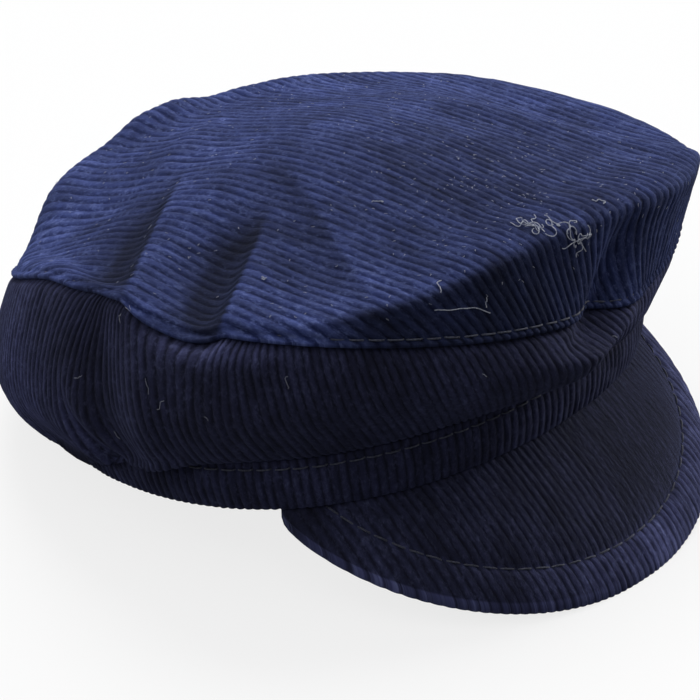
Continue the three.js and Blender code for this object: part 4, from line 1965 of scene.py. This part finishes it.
@dataclass
class Peak:
    """The stiffened peak: ribs from the headband to a rounded edge, with a topstitched border."""

    shop: Workshop
    ribs: Ribs = Ribs(pitch=2.05, half_depth=0.13)
    edge_radius: float = 1.5
    top_rows: int = 52
    under_rows: int = 20
    edge_turns: int = 7
    border: float = 9.5
    border_puff: float = 0.5
    border_fade: float = 3.0
    inner_lift: float = 0.4
    inner_lift_fade: float = 6.0
    stitch_dip: float = 0.5
    stitch_width: float = 1.0
    # darker inside the border, and darker still on a smooth place at the right near the headband
    inner_darkening: float = 0.71
    flat_at: Pair = (27.0, -78.0)
    flat_width: float = 34.0
    flat_darkening: float = 0.62
    flat_ribs: float = 0.9
    # painted shade on the border's left part, away from the light at the right
    border_painted_shade: float = 0.71
    border_turn: float = -20.0
    border_turn_fade: float = 60.0

    RIM_POINTS = 331
    RIM_BLOCKS = 12
    SPREAD_POINTS = 441
    COLUMN_STEPS = 61
    LINE_STEPS = 241
    EDGE_SHORT = 0.8  # of its radius, where the top face stops before the edge
    EDGE_RIBS = 0.8  # share of the ribs' rise that is left on the rounded edge
    UNDER_RIBS = 0.6  # and underneath

    def __post_init__(self) -> None:
        """Lay out the outer edge."""
        half = self.shop.shape.peak_half_spread
        turn = np.linspace(-half, half, self.RIM_POINTS)
        self.rim = self.shop.shape.peak_point(turn, np.ones_like(turn))

    def from_edge(self, points: Array) -> Array:
        """Measure how far points lie from the outer edge.

        Args:
            points: Positions, any shape by 3.

        Returns:
            Distance of each.
        """
        flat = points.reshape(-1, 3)
        nearest = np.full(len(flat), np.inf)
        for block in np.array_split(self.rim, self.RIM_BLOCKS):
            gap = flat[:, None] - block[None]
            nearest = np.minimum(nearest, np.sqrt(np.sum(gap * gap, axis=-1)).min(axis=1))
        return nearest.reshape(points.shape[:-1])

    def lift(self, from_edge: Array) -> Array:
        """Raise the cloth from its plain face.

        Args:
            from_edge: Distances from the outer edge.

        Returns:
            How far the cloth stands out.
        """
        inward = from_edge - self.border
        puff = self.border_puff * np.sin(math.pi * np.clip(from_edge / self.border, 0.0, 1.0))
        beyond = self.inner_lift * smooth(inward / self.inner_lift_fade)
        return puff + beyond - self.stitch_dip * hump(inward, self.stitch_width)

    def _darkening(self, base: Array, inside: Array, flat: Array) -> Array:
        """Darken inside the border and on the smooth place, and paint shade on the border's left part.

        Args:
            base: Positions on the plain face.
            inside: 1 inside the border and 0 on it.
            flat: 1 in the middle of the smooth place, 0 away from it.

        Returns:
            0 for none up to 1.
        """
        # Painted shade on the border's left part.
        turned = smooth((self.border_turn - base[..., 0]) / self.border_turn_fade + 0.5)
        undarkened = (1.0 - self.inner_darkening * inside) * (1.0 - self.flat_darkening * flat)
        return 1.0 - undarkened * (1.0 - self.border_painted_shade * (1.0 - inside) * turned)

    def _columns(self) -> tuple[Array, Array, Array, Array]:
        """Lay the ribs straight forward, side by side.

        Returns:
            Sideways place and height on the rib of each column, then the angle around and the
            share of the reach of each point.
        """
        shape = self.shop.shape
        half = shape.peak_half_spread
        turn = np.linspace(-half, half, self.SPREAD_POINTS)
        steps = np.linspace(0.0, 1.0, self.COLUMN_STEPS)
        side = shape.peak_point(*np.meshgrid(turn, steps, indexing="ij"))[..., 0]
        count = round(2.0 * side[-1, 0] / self.ribs.pitch)
        place, ridge = self.ribs.columns(0, count)
        place, ridge = np.append(place, count), np.append(ridge, ridge[0])
        start = side[-1, 0] * (2.0 * place / count - 1.0)
        lines = [np.interp(start * row[-1] / side[-1, 0], row, turn) for row in side.T]
        angle = np.stack(lines, axis=-1)
        reach, _ = shape.peak_reach_at(angle[:, -1])
        stop = 1.0 - self.edge_radius * self.EDGE_SHORT / reach
        along = np.linspace(0.0, 1.0, self.top_rows)[None, :] * stop[:, None]
        around = np.stack([np.interp(along[k], steps, angle[k]) for k in range(len(start))])
        return start, ridge, around, along

    def build(self) -> Object:
        """Make the peak.

        Returns:
            The piece.
        """
        shape = self.shop.shape
        mesh = ClothMesh()
        start, ridge, around, along = self._columns()
        base = shape.peak_point(around, along)
        normals = grid_normals(base, closed=False)
        normals *= np.sign(normals[..., 2:3])
        cloth = np.stack([np.broadcast_to(start[:, None], along.shape), base[..., 1]], axis=-1)
        height = np.broadcast_to(ridge[:, None], along.shape)
        rib = self.ribs.rise(height, cloth, self.shop.noise)
        from_edge = self.from_edge(base)
        inside = smooth((from_edge - self.border) / self.border_fade + 0.5)
        away = np.hypot(base[..., 0] - self.flat_at[0], base[..., 1] - self.flat_at[1])
        flat = inside * hump(away, self.flat_width)
        rib = rib * (1.0 - self.flat_ribs * flat)
        outer = base + normals * (self.lift(from_edge) + rib)[..., None]
        rows = [mesh.add_points(outer, height, cloth, self._darkening(base, inside, flat))]
        outward = unit(base[:, -1] - base[:, -2])
        under_base = base - np.array([0.0, 0.0, shape.peak_thickness])
        down = unit(under_base[:, -1] - base[:, -1])
        middle = (outer[:, -1] + under_base[:, -1]) / 2.0
        half_height = np.linalg.norm(outer[:, -1] - under_base[:, -1], axis=-1, keepdims=True) / 2.0
        for turned in np.linspace(0.0, math.pi, self.edge_turns + 2)[1:-1]:
            reach_out = self.edge_radius + rib[:, -1:] * self.EDGE_RIBS
            ring = middle - down * half_height * math.cos(turned) + outward * reach_out * math.sin(turned)
            rows.append(mesh.add_points(ring, ridge, cloth[:, -1])[:, None])
        back = np.linspace(self.top_rows - 1, 0, self.under_rows).round().astype(int)
        under = under_base[:, back] - normals[:, back] * (rib[:, back] * self.UNDER_RIBS)[..., None]
        rows.append(mesh.add_points(under, height[:, back], cloth[:, back]))
        index = np.concatenate(rows, axis=1)
        looped = np.concatenate([index, index[:, :1]], axis=1)
        mesh.add_quads(looped)
        mesh.faces.append(tuple(index[0].tolist()))
        mesh.faces.append(tuple(index[-1][::-1].tolist()))
        return mesh.to_object("peak_cloth", self.shop.offset)

    def stitch_line(self) -> tuple[Array, Array]:
        """Lay out the topstitch of the border.

        Returns:
            Points and normals along it.
        """
        shape = self.shop.shape
        turn = np.linspace(-shape.peak_half_spread, shape.peak_half_spread, self.SPREAD_POINTS)
        along = np.linspace(0.0, 1.0, self.LINE_STEPS)
        grid = shape.peak_point(*np.meshgrid(turn, along, indexing="ij"))
        inset = self.from_edge(grid)
        normals = grid_normals(grid, closed=False)
        normals *= np.sign(normals[..., 2:3])
        line, up = [], []
        for column in range(len(turn)):
            if inset[column, 0] < self.border:
                continue
            row = int(np.argmax(inset[column] < self.border))
            line.append(grid[column, row])
            up.append(normals[column, row])
        points, up = np.array(line), np.array(up)
        lift = self.lift(np.full(len(points), self.border)) + self.ribs.half_depth * STITCH_REST
        return points + up * lift[:, None], up


@dataclass(frozen=True)
class LooseThread:
    """One loose thread lying on the cloth, in the flat cloth of the top panel."""

    at: Pair
    heading: float
    length: float
    curl: float
    seed: int


@dataclass
class Lint:
    """Pale lint: a tangle, loose threads and many tiny ends of fibre, on the top and the side band."""

    panel: TopPanel
    tangle_from: Pair = (-15.0, -81.0)
    tangle_to: Pair = (3.0, -98.0)
    tangle_width: float = 3.0
    tangle_loops: int = 11
    curl_points: int = 64
    thread_radius: float = 0.12
    fibre_radius: float = 0.055
    fibres: int = 420
    step: float = 0.2
    seed: int = 23
    thread_over: float = 0.15
    fibre_over: float = 0.03
    band_turn: float = 0.65  # degrees around for each millimetre
    band_rise: float = 0.042  # place up the profile for each millimetre
    band_over: float = 0.55

    # The tangle: where its loops start and how far they reach, as shares of its length, how often
    # they turn, how they sway (how much, how often), and how high they lie (least, more, how often).
    LOOP_START = (0.05, 0.75)
    LOOP_REACH = (-0.1, 0.3)
    LOOP_TURNS = 1.6
    BROAD_SWAY = (1.5, 6.0)
    FINE_SWAY = (0.5, 17.0)
    LOOP_OVER = (0.35, 0.5, 9.0)

    # The ends of fibre: where they are tried, in the flat cloth, where they crowd and how far that
    # spreads, how many stay elsewhere, and their lengths (least, more).
    TRIED_FROM = (-85.0, -100.0)
    TRIED_TO = (75.0, 85.0)
    TRIES = 9
    CROWD_AT = (5.0, -62.0)
    CROWD_SPREAD = (38.0, 34.0)
    ELSEWHERE = 0.22
    FIBRE_INSET = 4.0
    FIBRE_LENGTH = (0.25, 0.6)
    FIBRE_CURL = 0.7
    FIBRE_POINTS = 5
    NORMAL_STEP = 0.4

    DRIFT = 0.6  # how much of a thread's curl adds up along it
    JITTER = 0.5  # and how much doesn't

    THREADS = (
        LooseThread((-56.0, -85.0), -33.0, 17.0, 0.10, 3),
        LooseThread((-43.0, -94.0), 60.0, 3.5, 0.8, 4),
        LooseThread((-51.0, -83.0), 80.0, 5.0, 0.6, 5),
        LooseThread((12.0, -88.0), -30.0, 6.0, 0.8, 6),
        LooseThread((-28.0, -46.0), 10.0, 4.5, 0.9, 7),
        LooseThread((-70.0, -44.0), 60.0, 4.0, 0.9, 8),
    )
    # On the side band: the angle around and the place up the profile.
    BAND_THREADS = (
        LooseThread((-75.5, 3.05), 20.0, 4.0, 0.6, 31),
        LooseThread((-76.5, 2.80), 70.0, 3.0, 0.8, 32),
        LooseThread((-72.0, 2.25), 85.0, 4.0, 0.4, 33),
        LooseThread((-71.0, 2.08), 15.0, 4.0, 0.6, 34),
        LooseThread((-50.0, 2.42), 60.0, 5.0, 0.5, 35),
        LooseThread((-89.0, 2.25), 40.0, 2.5, 0.8, 36),
        LooseThread((-84.0, 1.50), 120.0, 3.0, 0.6, 37),
        LooseThread((-63.0, 1.95), 30.0, 2.0, 0.8, 38),
        LooseThread((-20.0, 2.30), 110.0, 2.5, 0.7, 39),
        LooseThread((5.0, 2.60), 40.0, 2.0, 0.8, 40),
    )

    def _laid(self, u: Array, v: Array, over: Array | float) -> tuple[Array, Array]:
        """Lay a thread on the top panel.

        Args:
            u: Across the ribs.
            v: Along the ribs.
            over: Height over the ribs.

        Returns:
            Points and normals.
        """
        surface, step = self.panel.surface, self.NORMAL_STEP
        points, _, inset = surface(u, v)
        side = surface(u + step, v)[0] - surface(u - step, v)[0]
        along = surface(u, v + step)[0] - surface(u, v - step)[0]
        normals = unit(np.cross(side, along))
        rise = self.panel.lift(points, inset) + self.panel.ribs.half_depth + over
        return points + normals * np.broadcast_to(rise, len(points))[:, None], normals

    def _wander(self, thread: LooseThread) -> Array:
        """Let a thread curl in the flat cloth.

        Args:
            thread: The thread.

        Returns:
            Points along it, each by 2.
        """
        chooser = np.random.default_rng(thread.seed)
        count = max(4, int(thread.length / self.step))
        bends = np.cumsum(chooser.normal(0.0, thread.curl, count)) * self.DRIFT
        bends = bends + chooser.normal(0.0, thread.curl * self.JITTER, count)
        angle = np.radians(thread.heading) + bends
        moves = np.stack([np.cos(angle), np.sin(angle)], axis=-1) * self.step
        return np.array(thread.at) + np.concatenate([[[0.0, 0.0]], np.cumsum(moves, axis=0)])

    def tangle(self) -> ThreadMesh:
        """Wind the tangle on the front edge of the top.

        Returns:
            Its loops.
        """
        mesh = ThreadMesh()
        chooser = np.random.default_rng(self.seed)
        share = np.linspace(0.0, 1.0, self.curl_points)
        start, end = np.array(self.tangle_from), np.array(self.tangle_to)
        way = end - start
        aside = np.array([-way[1], way[0]]) / np.linalg.norm(way)
        for _ in range(self.tangle_loops):
            phase = chooser.uniform(0.0, 2.0 * math.pi, 4)
            first = chooser.uniform(*self.LOOP_START)
            reach = chooser.uniform(*self.LOOP_REACH)
            turns = chooser.uniform(-self.LOOP_TURNS, self.LOOP_TURNS)
            heading = phase[0] + 2.0 * math.pi * turns * share
            heading += self.BROAD_SWAY[0] * np.sin(self.BROAD_SWAY[1] * share + phase[1])
            heading += self.FINE_SWAY[0] * np.sin(self.FINE_SWAY[1] * share + phase[2])
            curl = np.cumsum(np.stack([np.cos(heading), np.sin(heading)], axis=-1), axis=0) * self.step
            off = self.tangle_width * chooser.uniform(-0.5, 0.5)
            path = start + way * (first + reach * share)[:, None] + aside * off + curl - curl.mean(axis=0)
            least, more, often = self.LOOP_OVER
            over = least + more * np.sin(often * share + phase[3]) ** 2
            points, normals = self._laid(path[:, 0], path[:, 1], over)
            mesh.add(points, normals, self.thread_radius)
        return mesh

    def threads(self) -> ThreadMesh:
        """Lay the loose threads on the top.

        Returns:
            The threads.
        """
        mesh = ThreadMesh()
        for thread in self.THREADS:
            path = self._wander(thread)
            points, normals = self._laid(path[:, 0], path[:, 1], self.thread_over)
            mesh.add(points, normals, self.thread_radius)
        return mesh

    def band_threads(self) -> ThreadMesh:
        """Lay the few short threads that cling to the side band.

        Returns:
            The threads.
        """
        mesh = ThreadMesh()
        shape = self.panel.shop.shape
        for thread in self.BAND_THREADS:
            path = self._wander(replace(thread, at=(0.0, 0.0)))
            around = thread.at[0] + path[:, 0] * self.band_turn
            place = thread.at[1] + path[:, 1] * self.band_rise
            normals = shape.crown_normal(around, place)
            points = shape.crown_point(around, place) + normals * self.band_over
            mesh.add(points, normals, self.fibre_radius)
        return mesh

    def specks(self) -> ThreadMesh:
        """Strew tiny ends of fibre over the top, closest together toward the front edge.

        Returns:
            The ends of fibre.
        """
        mesh = ThreadMesh()
        chooser = np.random.default_rng(self.seed + 1)
        tries = chooser.uniform(self.TRIED_FROM, self.TRIED_TO, (self.fibres * self.TRIES, 2))
        u, v = tries[:, 0], tries[:, 1]
        across, along = (tries - self.CROWD_AT).T / np.array(self.CROWD_SPREAD)[:, None]
        crowd = np.exp(-(across**2) - along**2)
        _, _, inset = self.panel.surface(u, v)
        stays = chooser.uniform(size=len(u)) < self.ELSEWHERE + (1.0 - self.ELSEWHERE) * crowd
        paths = []
        for placed, start in enumerate(tries[(inset > self.FIBRE_INSET) & stays][: self.fibres]):
            length = self.FIBRE_LENGTH[0] + self.FIBRE_LENGTH[1] * chooser.uniform() ** 2
            heading = chooser.uniform(0.0, FULL_TURN)
            path = self._wander(LooseThread(tuple(start), heading, length, self.FIBRE_CURL, placed))
            paths.append(path[:: max(1, len(path) // self.FIBRE_POINTS)])
        flat = np.concatenate(paths)
        points, normals = self._laid(flat[:, 0], flat[:, 1], self.fibre_over)
        first = 0
        for path in paths:
            last = first + len(path)
            mesh.add(points[first:last], normals[first:last], self.fibre_radius)
            first = last
        return mesh


# ---------------------- the setting


@dataclass(frozen=True)
class Lamp:
    """A soft light: its strength, how wide it looks from the cap, and where it stands."""

    strength: float
    spread: float
    source: Triple


@dataclass(frozen=True)
class Setting:
    """Plain pale floor, soft studio light and the camera."""

    floor_half: float = 30.0
    floor_bounce: float = 0.22
    floor_shown: float = 0.19
    floor_glow: float = 0.79
    side_lamp: Lamp = Lamp(strength=1.75, spread=30.0, source=(0.95, -0.12, 0.26))
    top_lamp: Lamp = Lamp(strength=1.5, spread=110.0, source=(-0.30, 0.40, 1.0))
    key_lamp: Lamp = Lamp(strength=1.5, spread=28.0, source=(0.40, 0.50, 1.0))
    ambient: float = 0.12
    ambient_colour: Triple = (0.90, 0.95, 1.0)
    backdrop: float = 0.93
    camera_at: Triple = (-0.38993, -0.39990, 0.38051)
    camera_to: Triple = (-0.00998, -0.00524, 0.0276)
    lens: float = 126.4
    sensor: float = 36.0
    clip: Pair = (0.01, 60.0)

    def build(self) -> None:
        """Make everything that isn't the cap."""
        self._floor()
        self._world()
        self._light("side light", self.side_lamp)
        self._light("top light", self.top_lamp)
        self._light("key light", self.key_lamp)
        self._camera()
        bpy.context.scene.view_settings.view_transform = "Standard"

    def _floor(self) -> None:
        """A plain matt floor: shown nearly white, but sending little light back up."""
        side = self.floor_half
        corners = [(-side, -side, 0), (side, -side, 0), (side, side, 0), (-side, side, 0)]
        mesh = bpy.data.meshes.new("floor")
        mesh.from_pydata(corners, [], [(0, 1, 2, 3)])
        floor = bpy.data.objects.new("floor", mesh)
        bpy.context.scene.collection.objects.link(floor)
        material = bpy.data.materials.new("pale floor")
        material.use_nodes = True
        tree = material.node_tree
        tree.nodes.remove(tree.nodes["Principled BSDF"])
        bounce = put(tree, "BsdfDiffuse", {"Color": (*[self.floor_bounce] * 3, 1.0)})
        shown = put(tree, "BsdfDiffuse", {"Color": (*[self.floor_shown] * 3, 1.0)})
        glow = put(tree, "Emission", {"Strength": self.floor_glow})
        both = put(tree, "AddShader", {0: shown.outputs[0], 1: glow.outputs[0]})
        self._by_camera_ray(tree, bounce, both, tree.nodes["Material Output"])
        mesh.materials.append(material)

    def _world(self) -> None:
        """Even light from all sides, with a pale backdrop."""
        world = bpy.data.worlds.new("studio")
        bpy.context.scene.world = world
        world.use_nodes = True
        tree = world.node_tree
        light = tree.nodes["Background"]
        feed(tree, light, {"Color": (*self.ambient_colour, 1.0), "Strength": self.ambient})
        seen = put(tree, "Background", {"Color": (1.0, 1.0, 1.0, 1.0), "Strength": self.backdrop})
        self._by_camera_ray(tree, light, seen, tree.nodes["World Output"])

    @staticmethod
    def _by_camera_ray(tree: NodeTree, lighting: Node, shown: Node, output: Node) -> None:
        """Use one shader for the light on things and another for what is seen.

        Args:
            tree: The nodes.
            lighting: Shader for the light.
            shown: Shader for what is seen.
            output: Where the result goes.
        """
        rays = put(tree, "LightPath", {}).outputs["Is Camera Ray"]
        mix = put(tree, "MixShader", {"Fac": rays, 1: lighting.outputs[0], 2: shown.outputs[0]})
        feed(tree, output, {"Surface": mix.outputs[0]})

    def _light(self, name: str, choice: Lamp) -> None:
        """Hang one soft light.

        Args:
            name: Its name.
            choice: Its strength, width and place.
        """
        lamp = bpy.data.lights.new(name, "SUN")
        lamp.energy = choice.strength
        lamp.angle = math.radians(choice.spread)
        light = bpy.data.objects.new(name, lamp)
        light.rotation_euler = Vector(choice.source).to_track_quat("Z", "Y").to_euler()
        bpy.context.scene.collection.objects.link(light)

    def _camera(self) -> None:
        """Set up the camera."""
        lens = bpy.data.cameras.new("camera")
        lens.lens = self.lens
        lens.sensor_width = self.sensor
        lens.clip_start, lens.clip_end = self.clip
        camera = bpy.data.objects.new("camera", lens)
        camera.location = self.camera_at
        aim = Vector(self.camera_to) - Vector(self.camera_at)
        camera.rotation_euler = aim.to_track_quat("-Z", "Y").to_euler()
        bpy.context.scene.collection.objects.link(camera)
        bpy.context.scene.camera = camera


def clear_scene() -> None:
    """Remove whatever a new file starts with."""
    for thing in list(bpy.data.objects):
        bpy.data.objects.remove(thing, do_unlink=True)


def frame_offset(shape: CapShape) -> Array:
    """Find how far the frame's origin lies from the shape's own.

    Args:
        shape: The cap's surface.

    Returns:
        What to add to every point, in millimetres.
    """
    turn = even_turn(OFFSET_STEPS)
    top = shape.headband_height - shape.seam_gap
    ring = np.concatenate([shape.headband_point(turn, np.full_like(turn, up)) for up in (0.0, top)])
    low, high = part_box("headband")
    middle = (ring.min(axis=0) + ring.max(axis=0)) / 2.0
    wanted = np.array([(low[axis] + high[axis]) / 2.0 / MM for axis in range(3)])
    return np.array([wanted[0] - middle[0], wanted[1] - middle[1], 0.0])


def main() -> None:
    """Build the cap around its frame."""
    logging.basicConfig(level=logging.INFO, format="%(name)s: %(message)s")
    clear_scene()
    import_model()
    shape = CapShape()
    pile = PileGroup.build()
    thread = SEWING_THREAD.build()
    lint = PALE_LINT.build()
    shop = Workshop(shape, frame_offset(shape), SoftNoise(CLOTH_SEED))
    log.info("offset %s", shop.offset.round(3))

    looks = {
        Slot.TOP: CorduroyFinish("top corduroy", LIT_NAVY, wear=0.9, sheen=0.08),
        Slot.BAND: CorduroyFinish("band corduroy", BAND_NAVY),
        Slot.HEADBAND: CorduroyFinish("headband corduroy", SHADED_NAVY),
        Slot.PEAK: CorduroyFinish("peak corduroy", BAND_NAVY, wear=0.6, sheen=0.3),
    }
    finishes = {slot: look.build(pile) for slot, look in looks.items()}
    panel = TopPanel(shop)
    band = SideBand(shop)
    headband = Headband(shop)
    peak = Peak(shop)
    for maker, slot, node in (
        (panel, Slot.TOP, "top_panel"),
        (band, Slot.BAND, "side_band"),
        (headband, Slot.HEADBAND, "headband"),
        (peak, Slot.PEAK, "peak"),
    ):
        piece = maker.build()
        dress(piece, finishes[slot])
        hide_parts(node)
        triangles = sum(len(face.vertices) - 2 for face in piece.data.polygons)
        log.info("%s: %d triangles", piece.name, triangles)

    sewing = Topstitch()
    for name, maker, slot in (
        ("top_seam_stitches", panel, Slot.TOP),
        ("headband_stitches", headband, Slot.HEADBAND),
        ("peak_stitches", peak, Slot.PEAK),
    ):
        threads = ThreadMesh()
        count = sewing.sew(threads, *maker.stitch_line())
        dress(threads.to_object(name, shop.offset), thread)
        log.info("%s: %d stitches", name, count)

    fluff = Lint(panel)
    for name, threads, slot in (
        ("lint_tangle", fluff.tangle(), Slot.TOP),
        ("loose_threads", fluff.threads(), Slot.TOP),
        ("fibre_ends", fluff.specks(), Slot.TOP),
        ("band_threads", fluff.band_threads(), Slot.BAND),
    ):
        dress(threads.to_object(name, shop.offset), lint)
        log.info("%s: %d points", name, threads.count)

    Setting().build()


if __name__ == "__main__":
    main()
